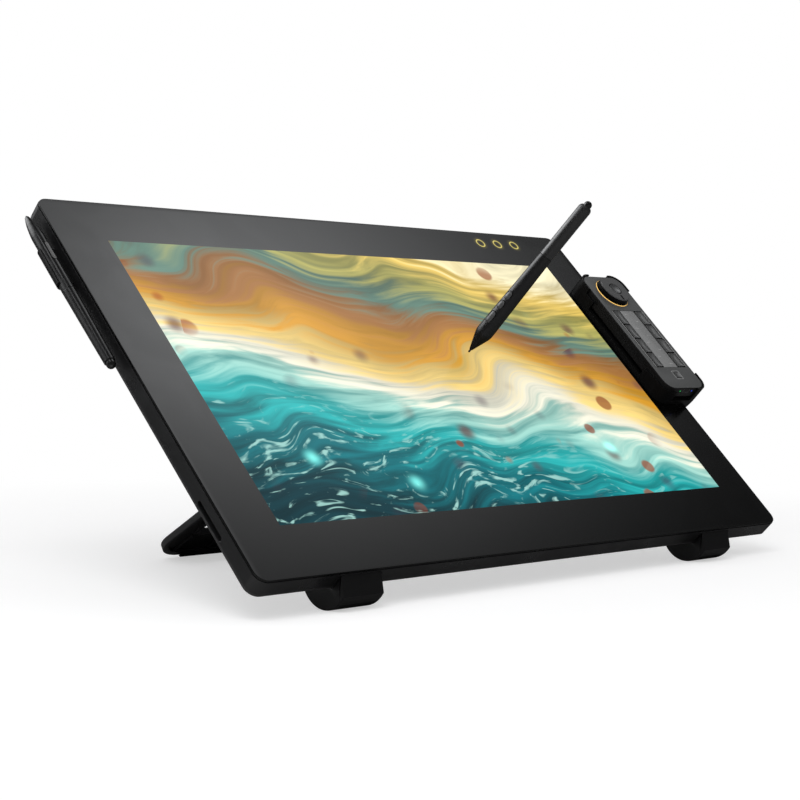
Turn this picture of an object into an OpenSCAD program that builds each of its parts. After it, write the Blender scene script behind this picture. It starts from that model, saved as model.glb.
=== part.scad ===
// Graphics tablet with a screen, standing on two front feet and a folding rear leg,
// with a quick-key remote in a cradle, a drawing pen on the glass and a slim pen in a clip.
// The tablet is drawn lying flat (x right, y up the screen, z out of the glass) and then tilted.

/* [Tablet] */
// Width of the tablet
tablet_w = 619; // [580:1:680]
// Height of the tablet, measured up the screen
tablet_h = 390; // [375:1:430]
// Thickness of the tablet at its edge
tablet_t = 17; // [16:0.5:21]
// Corner radius of the tablet seen from the front
tablet_corner_r = 10; // [8:1:16]
// Thickness of the side wall
side_wall = 3; // [2.8:0.1:4]
// Tilt of the screen from lying flat
tilt = 44.1; // [35:0.1:55]

/* [Glass] */
// Thickness of the cover glass
glass_t = 1.6; // [1.2:0.1:2]
// Distance of the glass edge from the housing edge
glass_inset = 0.4; // [0.2:0.1:1]
// Thickness of the adhesive gasket under the glass
gasket_t = 0.3; // [0.2:0.1:0.6]
// Distance of the gasket edge from the glass edge
gasket_inset = 0.8; // [0.4:0.1:1.5]
// Width of the seat that carries the glass
glass_seat_w = 8; // [6:0.5:11]

/* [Display] */
// Width of the picture
screen_w = 527; // [480:1:540]
// Height of the picture
screen_h = 296.5; // [270:0.5:305]
// Dark margin of the panel around the picture
panel_margin = 6; // [4:0.5:9]
// Thickness of the liquid-crystal panel
panel_t = 1.5; // [1:0.1:1.8]
// Thickness of the backlight
backlight_t = 3; // [2:0.1:3.4]
// Thickness of the pen sensor board
sensor_t = 1; // [0.6:0.1:1.4]
// Thickness of the shield plate
shield_t = 0.6; // [0.4:0.1:1]
// Width of the ledge in the frame that carries the shield plate
ledge_w = 18; // [15:0.5:22]
// Thickness of that ledge
ledge_t = 1.8; // [1.4:0.1:2.4]

/* [Touch keys] */
// Outer diameter of a key's light ring
touch_ring_d = 10.8; // [9:0.2:13]
// Width of the light ring
touch_ring_w = 1; // [0.6:0.1:1.6]
// Thickness of the light ring
touch_ring_t = 1; // [0.6:0.1:1.6]
// Spacing of the three keys
touch_pitch = 24.4; // [20:0.2:28]
// Middle key, right of the tablet's middle
touch_x = 213.4; // [150:0.2:240]
// Key row, below the top edge
touch_drop = 16.5; // [14:0.5:22]
// Height of the touch key board
touch_board_h = 15; // [13:0.5:18]
// Thickness of the touch key board
touch_board_t = 1; // [0.8:0.1:1.6]

/* [Rear housing] */
// Thickness of the rear cover
cover_t = 2.5; // [2:0.1:3]
// Thickness of the locating rim inside the cover
rim_t = 1.5; // [1:0.1:2]
// Height of the locating rim
rim_h = 2; // [1:0.1:3]
// Number of vent slots on each side
vent_count = 12; // [6:1:14]
// Width of a vent slot
vent_w = 2.4; // [1.6:0.1:3]
// Length of a vent slot
vent_l = 60; // [40:1:80]
// Spacing of the vent slots
vent_pitch = 8; // [6:0.5:9]
// Middle of the vent field, from the tablet's middle
vent_x = 230; // [215:1:236]

/* [Electronics pod] */
// Width of the pod
pod_w = 226; // [200:1:230]
// Height of the pod
pod_h = 150; // [142:1:156]
// How far the pod stands out of the back
pod_t = 9; // [8.5:0.1:9.4]
// Wall of the pod
pod_wall = 2; // [1.6:0.1:2.4]
// Corner radius of the pod
pod_corner_r = 12; // [8:1:16]
// Middle of the pod above the tablet's middle
pod_y = 40; // [38:1:44]
// Rim of the cover that the pod sits on
pod_seat = 8; // [7:0.5:9]
// Width of the main board
board_w = 84; // [78:1:86]
// Height of the main board
board_h = 122; // [110:1:124]
// Thickness of the main board
board_t = 1.6; // [1.2:0.1:2]
// Spacing of the wall-mount holes
vesa_pitch = 100; // [100:25:100]
// Diameter of the wall-mount thread
vesa_d = 4; // [4:1:4]
// Outer diameter of a threaded insert
insert_d = 5.6; // [5.4:0.1:6]
// Length of a threaded insert
insert_l = 8; // [6:0.5:8.5]

/* [Ports] */
// Width of the video socket
video_w = 15; // [14:0.1:16]
// Height of the video socket
video_h = 5.2; // [4.8:0.1:5.4]
// Width of a data socket
data_w = 9; // [8.6:0.1:9.6]
// Height of a data socket
data_h = 3.3; // [3:0.1:3.8]
// Wall of a socket shell
socket_wall = 0.4; // [0.3:0.05:0.6]
// Length of a socket
socket_l = 12; // [10:0.5:14]
// Distance of a data socket from the middle socket
socket_pitch = 22; // [18:1:28]
// Clearance of a socket in the pod wall
socket_fit = 0.2; // [0.1:0.05:0.4]

/* [Side slots] */
// Length of an accessory slot in a side wall
slot_l = 36; // [30:1:37]
// Width of an accessory slot
slot_w = 4.2; // [3.6:0.1:4.6]
// Middle of the slots above the back of the tablet
slot_rise = 5.2; // [5:0.1:6]
// Free slots, below the tablet's middle
slot_drop = 130; // [110:1:145]
// Clearance of a tongue in its slot
slot_fit = 0.2; // [0.1:0.05:0.4]
// Length of a tongue into its slot
tongue_l = 2.5; // [2:0.1:2.7]

/* [Front feet] */
// Width of a foot
foot_w = 40; // [30:1:50]
// Middle of a foot from the tablet's middle
foot_x = 214; // [170:1:240]
// Radius of the round underside of a foot
foot_r = 24.9; // [20:0.1:28]
// Middle of the round underside, above the tablet's lower edge
foot_inset = 11.6; // [10:0.1:14]
// Slope of the foot's front crease above the lower edge
foot_crease = 11.4; // [5:0.1:16]
// Top of the foot's front lip, below the glass face
foot_lip = 3.2; // [2.5:0.1:5]
// Thickness of the rubber pad
foot_pad_t = 1.5; // [1:0.1:2.5]

/* [Rear leg] */
// Width of the leg
leg_w = 334; // [312:1:336]
// Length of the leg from its hinge to its end
leg_l = 231; // [215:1:234]
// Thickness of the leg
leg_t = 6.7; // [6.5:0.1:9]
// Width of a side arm of the leg
leg_arm_w = 20; // [16:0.5:24]
// Height of the cross bar of the leg
leg_bar_h = 44; // [36:1:48]
// Outer corner radius of the leg
leg_corner_r = 31; // [10:1:36]
// Corner radius of the leg's window
leg_window_r = 6; // [4:0.5:10]
// Radius of the rubber strip
strip_r = 2; // [1.6:0.1:5]
// Height of the rubber strip above its round part
strip_t = 0.4; // [0.2:0.1:2]
// Hinge of the leg below the tablet's middle
hinge_drop = 44.5; // [40:0.5:50]
// Gap between the folded leg and the back
leg_gap = 0.5; // [0.4:0.1:1.5]
// Diameter of the hinge pin
pin_d = 4; // [3:0.1:4.2]
// Running clearance of the pin
pin_fit = 0.05; // [0.02:0.01:0.1]
// Width of a bracket ear
ear_w = 8; // [6:0.5:9]
// Side gap between the leg and an ear
ear_gap = 0.6; // [0.4:0.1:1]
// Thickness of the bracket's foot plate
bracket_t = 2.5; // [2:0.1:3]
// Length of the bracket's foot plate below the hinge
bracket_h = 22; // [18:1:26]

/* [Screws] */
// Diameter of a housing screw
screw_d = 2.6; // [2.4:0.1:2.8]
// Diameter of a screw head
head_d = 4.8; // [4.2:0.1:5.2]
// Height of a screw head
head_t = 1.2; // [0.8:0.1:1.4]
// Diameter of a screw boss
boss_d = 7; // [6:0.2:8]
// Distance of the housing screws from the tablet's edge
screw_inset = 9; // [8:0.5:11]

/* [Remote] */
// Width of the remote
remote_w = 59.6; // [56:0.2:66]
// Height of the remote
remote_h = 156.5; // [152:0.5:170]
// Thickness of the remote
remote_t = 12; // [11:0.1:13]
// Corner radius of the remote
remote_corner_r = 12; // [8:0.5:14]
// Wall of the remote's shells
remote_wall = 1.6; // [1.4:0.1:2]
// Thickness of the remote's face
face_t = 2; // [1.8:0.1:2.2]
// Height of the seam between the shells
remote_seam = 6.5; // [6.2:0.1:7]
// Middle of the remote, in from the tablet's right edge
remote_in = 9.6; // [4:0.2:14]
// Middle of the remote above the tablet's middle
remote_y = 36.8; // [0:0.2:60]
// Underside of the remote above the glass
remote_rise = 7.5; // [7:0.1:11]
// Width of the small display window
window_w = 21; // [18:0.2:22]
// Gap between the window and the square key, and between the window and the light ring
window_gap = 6.8; // [5:0.1:8.5]
// Thickness of the window lens
lens_t = 1.2; // [0.8:0.1:1.2]
// Thickness of the small display
oled_t = 1.6; // [1.2:0.1:2]
// Width of the ledge under the window lens
lens_ledge = 1.2; // [0.8:0.1:1.6]
// Width of a long key
key_w = 8.8; // [7:0.2:9.4]
// Gap between the keys of a column
key_gap = 0.5; // [0.4:0.1:0.8]
// Clearance around a key
key_fit = 0.25; // [0.2:0.05:0.4]
// Web between the window and a column of keys
key_web = 1; // [0.8:0.1:1.6]
// How far a key stands proud of the face
key_proud = 0.5; // [0.3:0.1:0.9]
// Travel of a key
key_travel = 0.6; // [0.4:0.1:0.6]
// Side of the square key
square_key = 8; // [6:0.2:9]
// Middle of the square key, in from the remote's lower edge
square_key_in = 17.95; // [16:0.05:20]

/* [Dial] */
// Diameter of the dial
dial_d = 34; // [30:0.2:36]
// Height of the dial
dial_h = 5.5; // [5:0.1:8]
// Middle of the dial, in from the remote's upper edge
dial_in = 24.25; // [23:0.05:26]
// Diameter of the boss that the dial turns on
boss_dial_d = 22; // [20:0.2:24]
// Bore of that boss
boss_bore_d = 15; // [14.8:0.1:16]
// Running clearance of the dial
dial_fit = 0.05; // [0.02:0.01:0.1]
// Thickness of the dial's top
dial_top_t = 2.2; // [1.6:0.1:2.6]
// Outer diameter of the light ring
light_ring_d = 37.4; // [36.8:0.1:39]
// How far the light ring stands above the face
light_ring_proud = 0.7; // [0.3:0.1:1]
// Diameter of the middle button
dial_button_d = 13.8; // [12:0.1:14]

/* [Cradle] */
// Wall of the cradle
cradle_wall = 1.6; // [1.4:0.1:3]
// Clearance around the remote
cradle_fit = 0.4; // [0.3:0.1:0.8]
// Thickness of the cradle's floor
cradle_floor = 4.5; // [3:0.1:5.5]
// How far the corner posts stand above the remote's face
post_proud = 0.6; // [0.3:0.1:3]
// Length of a corner post along the long sides
post_l = 22; // [16:0.5:26]
// Length of the low part of a left corner post
left_post_l = 35; // [26:0.5:37]
// Length of a corner post along the short sides
post_w = 17; // [14:0.5:20]
// How far the low corner post ends below the remote's face
post_low = 4; // [2:0.1:6]
// Width of the cradle beside the tablet, at its lower edge
cradle_hook = 9; // [6:0.5:16]
// Depth of that lower edge below the glass face
cradle_drop = 5; // [4:0.5:9]
// Length of a seat that carries the remote
seat_l = 24; // [16:1:30]

/* [Drawing pen] */
// Length of the drawing pen
pen_l = 169; // [155:1:185]
// Diameter of the grip
grip_d = 15.8; // [14.6:0.1:16.4]
// Diameter of the rear barrel
barrel_d = 12.4; // [11.6:0.1:13.4]
// Length of the cone at the nib
cone_l = 20; // [18:0.5:28]
// Joint between the grip and the barrel, from the nib's end
pen_joint = 107; // [95:1:112]
// Nib on the glass, right of the tablet's middle
pen_x = 58.1; // [-100:0.1:150]
// Nib on the glass, above the tablet's middle
pen_y = 25.8; // [-80:0.1:80]
// Lean of the pen from square to the glass
pen_lean = 22.6; // [0:0.1:40]
// Bearing of the lean, from the right towards the top
pen_bearing = 26.1; // [-90:0.1:90]
// Turn of the pen's buttons about its axis
pen_roll = 148; // [0:1:359]
// Diameter of a nib
nib_d = 1.8; // [1.4:0.1:2]
// Length of a nib that shows
nib_out = 3.4; // [3:0.1:5]
// Length of a nib inside the pen
nib_in = 14; // [10:0.5:18]
// Travel of a nib
nib_travel = 0.6; // [0.3:0.1:0.8]
// Sliding clearance of a nib
nib_fit = 0.1; // [0.05:0.01:0.15]
// Wall of the pens
pen_wall = 2.2; // [1.9:0.1:2.4]
// Lengths of the three pen buttons
pen_button_l = [12, 8.5, 8.5]; // [7:0.1:13]
// Middles of the three pen buttons, from the nib's end
pen_button_at = [36, 50, 60.5]; // [34:0.1:64]
// Width of a pen button
pen_button_w = 4.6; // [4:0.1:5.4]
// How far a pen button stands proud
pen_button_proud = 0.6; // [0.4:0.1:1]
// Travel of a pen button
pen_button_travel = 0.4; // [0.2:0.1:0.5]
// Diameter of the eraser
eraser_d = 7.8; // [7.6:0.1:8.8]
// Length of the eraser that shows
eraser_out = 6; // [5:0.1:7.5]
// Travel of an eraser
eraser_travel = 0.5; // [0.3:0.1:0.7]

/* [Slim pen] */
// Length of the slim pen
slim_l = 167; // [160:1:180]
// Diameter of the slim pen's grip
slim_d = 10.5; // [10:0.1:11.5]
// Diameter of the slim pen's tail
slim_tail_d = 8.8; // [8.4:0.1:9.6]
// Length of the slim pen's cone
slim_cone_l = 24; // [18:0.5:28]
// Length of the blunt nose before the cone
slim_nose_l = 10; // [8:0.5:13]
// Diameter where the nose meets the cone
slim_nose_d = 7.8; // [7:0.1:9]
// Length of the slim pen's nib that shows
slim_nib_out = 1; // [0.8:0.1:2]
// End of the straight grip, from the nib's end
slim_grip_end = 84; // [80:1:100]
// Tail end of the slim pen above the tablet's middle
slim_y = 17; // [0:0.5:22]
// Axis of the slim pen behind the glass face
slim_z = 10.6; // [8:0.1:11]
// Middle of the rocker, from the nib's end
rocker_at = 43.5; // [40:0.5:48]
// Length of the rocker
rocker_l = 19; // [18:0.5:26]
// Width of the rocker
rocker_w = 3.6; // [3:0.1:4]
// Swing of the rocker each way
rocker_swing = 2; // [1:0.1:3]
// Diameter of the slim pen's eraser
slim_eraser_d = 5.6; // [5:0.1:6]

/* [Pen clip] */
// Length of the clip
clip_l = 38; // [38:1:50]
// Middle of the clip above the tablet's middle
clip_y = 126; // [120:0.5:140]
// Wall of the clip around the pen
clip_wall = 1.2; // [1:0.1:2]
// Wall of the clip between the pen and the tablet
clip_back = 2.4; // [1.6:0.1:3]
// Clearance of the pen in the clip
clip_fit = 0.2; // [0.2:0.05:0.5]
// How far the clip's outer jaw reaches past the pen's middle
clip_jaw = 1.5; // [0:0.1:2.5]

/* [Power key] */
// Length of the power key
power_l = 12; // [8:0.5:16]
// Width of the power key
power_w = 3.2; // [2.4:0.1:3.6]
// Middle of the power key, right of the tablet's middle
power_x = 250; // [150:1:270]
// Travel of the power key
power_travel = 0.6; // [0.3:0.1:0.8]

/* [Hidden] */
$fn = 64;
// Overlap of joined shapes, run of a cutter past a face, gap under a resting piece, play of a loose piece
eps = 0.01;
cut = 1;
rest_gap = 0.1;
play = 0.3;

// Levels behind the glass face
gasket_z = -glass_t - gasket_t;
panel_z = -glass_t - panel_t;
backlight_z = panel_z - backlight_t;
sensor_z = backlight_z - sensor_t;
shield_z = sensor_z - shield_t;
ledge_z = shield_z - ledge_t;
frame_z = -tablet_t + cover_t;
back_z = -tablet_t;
pod_z = back_z - pod_t;
slot_z = back_z + slot_rise;
stack_w = screen_w + 2 * panel_margin;
stack_h = screen_h + 2 * panel_margin;
inner_w = tablet_w - 2 * side_wall;
inner_h = tablet_h - 2 * side_wall;
shield_fit = 1;
rim_fit = 0.2;
insert_wall = 2;
screw_end_gap = 0.5;

// Stance: foot centre, hinge, floor and leg angle, in the plane across the tablet
foot_y = -tablet_h / 2 + foot_inset;
crease = [foot_y - foot_r * cos(foot_crease), back_z + foot_r * sin(foot_crease)];
hinge_y = -hinge_drop;
hinge_z = back_z - leg_gap - leg_t / 2;
function depth_of(y, z) = y * cos(tilt) - z * sin(tilt);
function height_of(y, z) = y * sin(tilt) + z * cos(tilt);
floor_h = height_of(foot_y, back_z) - foot_r;
strip_at = leg_l - strip_r;
strip_drop = leg_t / 2 + strip_t;
leg_rise = height_of(hinge_y, hinge_z) - floor_h - strip_r;
leg_slope = asin(leg_rise / norm([strip_at, strip_drop])) - atan2(strip_drop, strip_at);
leg_open = tilt + leg_slope;

// Box of the whole object, whose bottom middle is the origin
clip_out = clip_back + clip_wall + 2 * clip_fit + slim_d;
remote_x = tablet_w / 2 - remote_in;
cradle_right = remote_x + remote_w / 2 + cradle_fit + cradle_wall;
box_x = [-tablet_w / 2 - clip_out, cradle_right];
box_y = [
    min(depth_of(crease[0], crease[1]), depth_of(-tablet_h / 2, 0)),
    max(
        depth_of(hinge_y, hinge_z) + leg_l * cos(leg_slope) + leg_t / 2 * sin(leg_slope),
        depth_of(tablet_h / 2, back_z)
    )
];

// Corners of rectangular patterns
signs = [[-1, -1], [1, -1], [1, 1], [-1, 1]];
frame_screws = [
    for (sx = [-1, 1], fy = [-0.5, 0, 0.5])
        [sx * (tablet_w / 2 - screw_inset), fy * (tablet_h - 4 * screw_inset)],
    for (sy = [-1, 1], fx = [-0.25, 0, 0.25]) [fx * tablet_w, sy * (tablet_h / 2 - screw_inset)]
];
pod_screw_in = pod_wall + boss_d / 2;
pod_screws = [for (s = signs) [s[0] * (pod_w / 2 - pod_screw_in), pod_y + s[1] * (pod_h / 2 - pod_screw_in)]];
board_screw_in = 5;
board_screws = [
    for (s = signs) [s[0] * (board_w / 2 - board_screw_in), pod_y + s[1] * (board_h / 2 - board_screw_in)]
];
ear_in_x = leg_w / 2 - leg_arm_w - ear_gap - ear_w;
ear_out_x = leg_w / 2 + ear_gap + ear_w;
bracket_pad = 11;
bracket_screw_y = hinge_y - bracket_h + boss_d / 2;
bracket_screws = [
    for (sx = [-1, 1], x = [ear_in_x - bracket_pad / 2, ear_out_x + bracket_pad / 2])
        [sx * x, bracket_screw_y]
];
vesa_holes = [for (s = signs) [s[0] * vesa_pitch / 2, pod_y + s[1] * vesa_pitch / 2]];
board_set = 1;
main_board_z = back_z + board_set;
touch_y = tablet_h / 2 - touch_drop;
touch_margin = 2;
touch_board_l = 2 * (touch_pitch + touch_margin) + touch_ring_d;
touch_board_z = -glass_t - touch_ring_t - touch_board_t;

// Sockets: place across, width and height
sockets = [[-socket_pitch, data_w, data_h], [0, video_w, video_h], [socket_pitch, data_w, data_h]];
socket_top = main_board_z - board_t;
pod_low_y = pod_y - pod_h / 2;
socket_floor = 2;
socket_tongue_in = 1.5;
socket_tongue_t = 0.7;

// Remote: places along it, key columns, levels and posts
square_key_y = -remote_h / 2 + square_key_in;
dial_y = remote_h / 2 - dial_in;
window_low = square_key_y + square_key / 2 + window_gap;
window_h = dial_y - light_ring_d / 2 - window_gap - window_low;
window_y = window_low + window_h / 2;
roof_z = remote_t - face_t;
lens_z = remote_t - lens_t;
key_x = window_w / 2 + key_web + key_fit + key_w / 2;
key_pitch = window_h / 4;
key_flange = 1;
key_flange_t = 1.5;
key_flange_z = roof_z - play - key_flange_t;
remote_board_t = 1.2;
remote_board_z = remote_seam - remote_board_t;
remote_board_fit = 0.5;
switch_clear = 0.2;
dome_top = key_flange_z - key_travel - switch_clear;
remote_post_d = 5;
remote_screw_d = 2;
remote_screw_head = 3.6;
remote_post_in = 8;
remote_posts = [
    for (s = signs) [s[0] * (remote_w / 2 - remote_post_in), s[1] * (remote_h / 2 - remote_post_in)]
];
light_ring_seat = 0.8;
light_ring_t = light_ring_seat + light_ring_proud;
light_ring_in = 2;
dial_gap = 0.2;
dial_z = remote_t + light_ring_proud + dial_gap;
dial_boss_z = dial_z + dial_h - dial_top_t - play;
dial_button_gap = 0.4;
dial_flange_t = 1.2;
notch_w = 1.4;
notch_l = 5;
notch_in = 2;
notch_deep = 0.8;
dial_button_z = roof_z + key_flange;
switch_y = 44;
switch_l = 5;
switch_h = 1.8;
switch_travel = 3;
switch_z = (remote_seam + roof_z) / 2;
light_x = 9;
light_d = 1.8;
remote_socket_z = remote_seam;
remote_socket_l = 8;
switch_flange = 1;
switch_flange_t = 1.2;
switch_proud = 0.3;
battery_w = 40;
battery_h = 60;
battery_y = -15;
lens_fit = 0.1;
oled_in = lens_ledge + 0.2;

// Pens
nib_r = nib_d / 2;
joint_l = 8;
pen_bore_r = barrel_d / 2 - pen_wall;
pen_tube_t = 1;
pen_tube_r = pen_bore_r - pen_tube_t;
core_r = pen_tube_r - play;
joint_fit = 0.05;
eraser_fit = 0.15;
pen_tail = pen_l - nib_r - eraser_out;
tail_chamfer = 2;
core_from = nib_out + nib_in + nib_travel + play;
grip_wide = cone_l + 6;
function grip_r(s) = grip_d / 2 + (barrel_d - grip_d) / 2 * max(0, s - grip_wide) / (pen_joint - grip_wide);
slim_nib_y = slim_y + slim_l;
slim_x = -tablet_w / 2 - clip_back - clip_fit - slim_d / 2;
slim_core_r = slim_tail_d / 2 - pen_wall;
slim_tail = slim_l - 2 * nib_r - eraser_out;
rocker_proud = 0.4;
rocker_fit = 0.5;
button_fit = 0.25;
button_depth = 2.4;

// Places the flat-drawn tablet in its stance
module in_tablet() {
    translate([-(box_x[0] + box_x[1]) / 2, -(box_y[0] + box_y[1]) / 2, -floor_h])
        rotate([tilt, 0, 0])
            children();
}

// Places the remote's own drawing, whose origin is the middle of its underside
module in_remote() {
    in_tablet()
        translate([remote_x, remote_y, remote_rise])
            children();
}

// Places the drawing pen: origin in the middle of the nib's round end, z up its axis
module in_pen() {
    in_tablet()
        translate([pen_x, pen_y, nib_r + rest_gap])
            rotate([0, pen_lean, pen_bearing])
                rotate([0, 0, pen_roll])
                    children();
}

// Places the slim pen: origin in the middle of the nib's round end, z down towards its tail
module in_slim_pen() {
    in_tablet()
        translate([slim_x, slim_nib_y - nib_r, -slim_z])
            rotate([90, 0, 0])
                children();
}

// Places the leg: origin on the hinge axis, y along the leg
module in_leg() {
    in_tablet()
        translate([0, hinge_y, hinge_z])
            rotate([-leg_open, 0, 0])
                children();
}

// Rectangle with round corners, centred
module rounded_rect(w, h, r) {
    square([w - 2 * r, h], center = true);
    square([w, h - 2 * r], center = true);
    for (s = signs)
        translate([s[0] * (w / 2 - r), s[1] * (h / 2 - r)])
            circle(r);
}

// Slab with round corners between two levels
module slab(w, h, r, low, high) {
    translate([0, 0, low])
        linear_extrude(high - low)
            rounded_rect(w, h, r);
}

// Box given by its lowest and highest corners
module box(low, high) {
    translate(low)
        cube(high - low);
}

// Round bar along x
module bar_x(r, from, to) {
    translate([from, 0, 0])
        rotate([0, 90, 0])
            cylinder(r = r, h = to - from);
}

// Slot shape with round ends along y, pushed along x
module slot_x(length, width, from, to) {
    translate([from, 0, 0])
        rotate([90, 0, 90])
            linear_extrude(to - from) {
                square([length - width, width], center = true);
                for (s = [-1, 1])
                    translate([s * (length - width) / 2, 0])
                        circle(d = width);
            }
}

// Screw with its head's top at the origin, pointing along z
module screw(length, d, head, head_h) {
    cylinder(d = head, h = head_h);
    cylinder(d = d, h = length);
}

// Accessory slots: side and place up the tablet
module side_slots() {
    reach = 2 * side_wall;
    for (place = [[-1, -slot_drop], [-1, clip_y], [1, -slot_drop], [1, remote_y]])
        translate([place[0] * tablet_w / 2, place[1], slot_z])
            slot_x(slot_l, slot_w, -reach, reach);
}

// Tongue of an accessory that fills a slot, for the side -1 or 1
module tongue(side, y) {
    wall_x = side * tablet_w / 2;
    translate([0, y, slot_z])
        slot_x(
            slot_l - 2 * slot_fit, slot_w - 2 * slot_fit,
            min(wall_x, wall_x - side * tongue_l), max(wall_x, wall_x - side * tongue_l)
        );
}

// Display stack

module cover_glass() {
    color([0.13, 0.13, 0.14])
        in_tablet()
            slab(
                tablet_w - 2 * glass_inset, tablet_h - 2 * glass_inset,
                tablet_corner_r - glass_inset, -glass_t, 0
            );
}

module glass_gasket() {
    inset = glass_inset + gasket_inset;
    seat = side_wall + glass_seat_w;
    color([0.02, 0.02, 0.02])
        in_tablet()
            difference() {
                slab(tablet_w - 2 * inset, tablet_h - 2 * inset, tablet_corner_r - inset, gasket_z, -glass_t);
                box(
                    [-tablet_w / 2 + seat, -tablet_h / 2 + seat, gasket_z - cut],
                    [tablet_w / 2 - seat, tablet_h / 2 - seat, 0]
                );
                touch_room();
            }
}

// Room for the touch key board and its light rings
module touch_room() {
    half = touch_board_l / 2 + play;
    translate([touch_x, touch_y, 0])
        box(
            [-half, -touch_board_h / 2 - play, touch_board_z - play],
            [half, touch_board_h / 2 + play, 0]
        );
}

module stack_sheet(low, high) {
    in_tablet()
        box([-stack_w / 2, -stack_h / 2, low], [stack_w / 2, stack_h / 2, high]);
}

module lcd_panel() {
    color([0.1, 0.45, 0.45])
        stack_sheet(panel_z, -glass_t);
}

module backlight_unit() {
    color([0.9, 0.9, 0.92])
        stack_sheet(backlight_z, panel_z);
}

module sensor_board() {
    color([0.1, 0.3, 0.15])
        stack_sheet(sensor_z, backlight_z);
}

module shield_plate() {
    inset = side_wall + glass_seat_w + shield_fit;
    color([0.6, 0.6, 0.62])
        in_tablet()
            box(
                [-tablet_w / 2 + inset, -tablet_h / 2 + inset, shield_z],
                [tablet_w / 2 - inset, tablet_h / 2 - inset, sensor_z]
            );
}

module touch_key_lights() {
    color([0.86, 0.7, 0.3])
        in_tablet()
            for (i = [-1, 0, 1])
                translate([touch_x + i * touch_pitch, touch_y, -glass_t - touch_ring_t])
                    difference() {
                        cylinder(d = touch_ring_d, h = touch_ring_t);
                        translate([0, 0, -eps])
                            cylinder(d = touch_ring_d - 2 * touch_ring_w, h = touch_ring_t + 2 * eps);
                    }
}

module touch_key_board() {
    color([0.1, 0.3, 0.15])
        in_tablet()
            translate([touch_x, touch_y, touch_board_z])
                translate([-touch_board_l / 2, -touch_board_h / 2, 0])
                    cube([touch_board_l, touch_board_h, touch_board_t]);
}

// Housing

module mid_frame() {
    front_in = side_wall + glass_seat_w;
    ledge_in = side_wall + ledge_w;
    color([0.12, 0.12, 0.125])
        in_tablet()
            difference() {
                union() {
                    difference() {
                        slab(tablet_w, tablet_h, tablet_corner_r, frame_z, gasket_z);
                        box(
                            [-tablet_w / 2 + front_in, -tablet_h / 2 + front_in, shield_z],
                            [tablet_w / 2 - front_in, tablet_h / 2 - front_in, 0]
                        );
                        box(
                            [-tablet_w / 2 + ledge_in, -tablet_h / 2 + ledge_in, back_z],
                            [tablet_w / 2 - ledge_in, tablet_h / 2 - ledge_in, 0]
                        );
                        slab(inner_w, inner_h, tablet_corner_r - side_wall, back_z, ledge_z);
                    }
                    for (place = frame_screws)
                        translate([place[0], place[1], frame_z])
                            cylinder(d = boss_d, h = ledge_z - frame_z);
                }
                for (place = frame_screws)
                    translate([place[0], place[1], back_z])
                        cylinder(d = screw_d, h = ledge_z - back_z);
                side_slots();
                power_hole();
                touch_room();
            }
}

module power_hole() {
    translate([power_x, tablet_h / 2 - side_wall, slot_z])
        translate([-power_l / 2 - play, -cut, -power_w / 2 - play])
            cube([power_l + 2 * play, 2 * side_wall, power_w + 2 * play]);
}

module power_key() {
    stem = 0.8;
    flange = 1;
    color([0.2, 0.2, 0.2])
        in_tablet()
            translate([power_x, tablet_h / 2 - side_wall, slot_z]) {
                box([-power_l / 2, -stem, -power_w / 2], [power_l / 2, side_wall + stem, power_w / 2]);
                box(
                    [-power_l / 2 - flange, -stem - flange, -power_w / 2],
                    [power_l / 2 + flange, -stem, power_w / 2]
                );
            }
}

module rear_cover() {
    rim_out = side_wall + rim_fit;
    color([0.1, 0.1, 0.105])
        in_tablet()
            difference() {
                union() {
                    slab(tablet_w, tablet_h, tablet_corner_r, back_z, frame_z);
                    difference() {
                        slab(
                            tablet_w - 2 * rim_out, tablet_h - 2 * rim_out,
                            tablet_corner_r - rim_out, frame_z - eps, frame_z + rim_h
                        );
                        slab(
                            tablet_w - 2 * (rim_out + rim_t), tablet_h - 2 * (rim_out + rim_t),
                            tablet_corner_r - rim_out - rim_t, frame_z - cut, frame_z + rim_h + cut
                        );
                        power_room();
                    }
                }
                translate([0, pod_y, 0])
                    slab(pod_w - 2 * pod_seat, pod_h - 2 * pod_seat, pod_corner_r / 2, back_z - cut, 0);
                for (place = frame_screws)
                    translate([place[0], place[1], back_z]) {
                        translate([0, 0, -cut])
                            cylinder(d = screw_d, h = cover_t + 2 * cut);
                        translate([0, 0, -cut])
                            cylinder(d = head_d, h = head_t + cut);
                    }
                for (place = concat(pod_screws, bracket_screws))
                    translate([place[0], place[1], back_z - cut])
                        cylinder(d = screw_d, h = cover_t + 2 * cut);
                for (side = [-1, 1], i = [0:vent_count - 1])
                    translate([side * vent_x + (i - (vent_count - 1) / 2) * vent_pitch, pod_y, 0])
                        box(
                            [-vent_w / 2, -vent_l / 2, back_z - cut],
                            [vent_w / 2, vent_l / 2, frame_z + cut]
                        );
            }
}

// Room behind the power key in the cover's rim
module power_room() {
    room = 3;
    deep = 8;
    translate([power_x, tablet_h / 2 - side_wall, 0])
        box([-power_l / 2 - room, -deep, back_z], [power_l / 2 + room, side_wall + cut, 0]);
}

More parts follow.
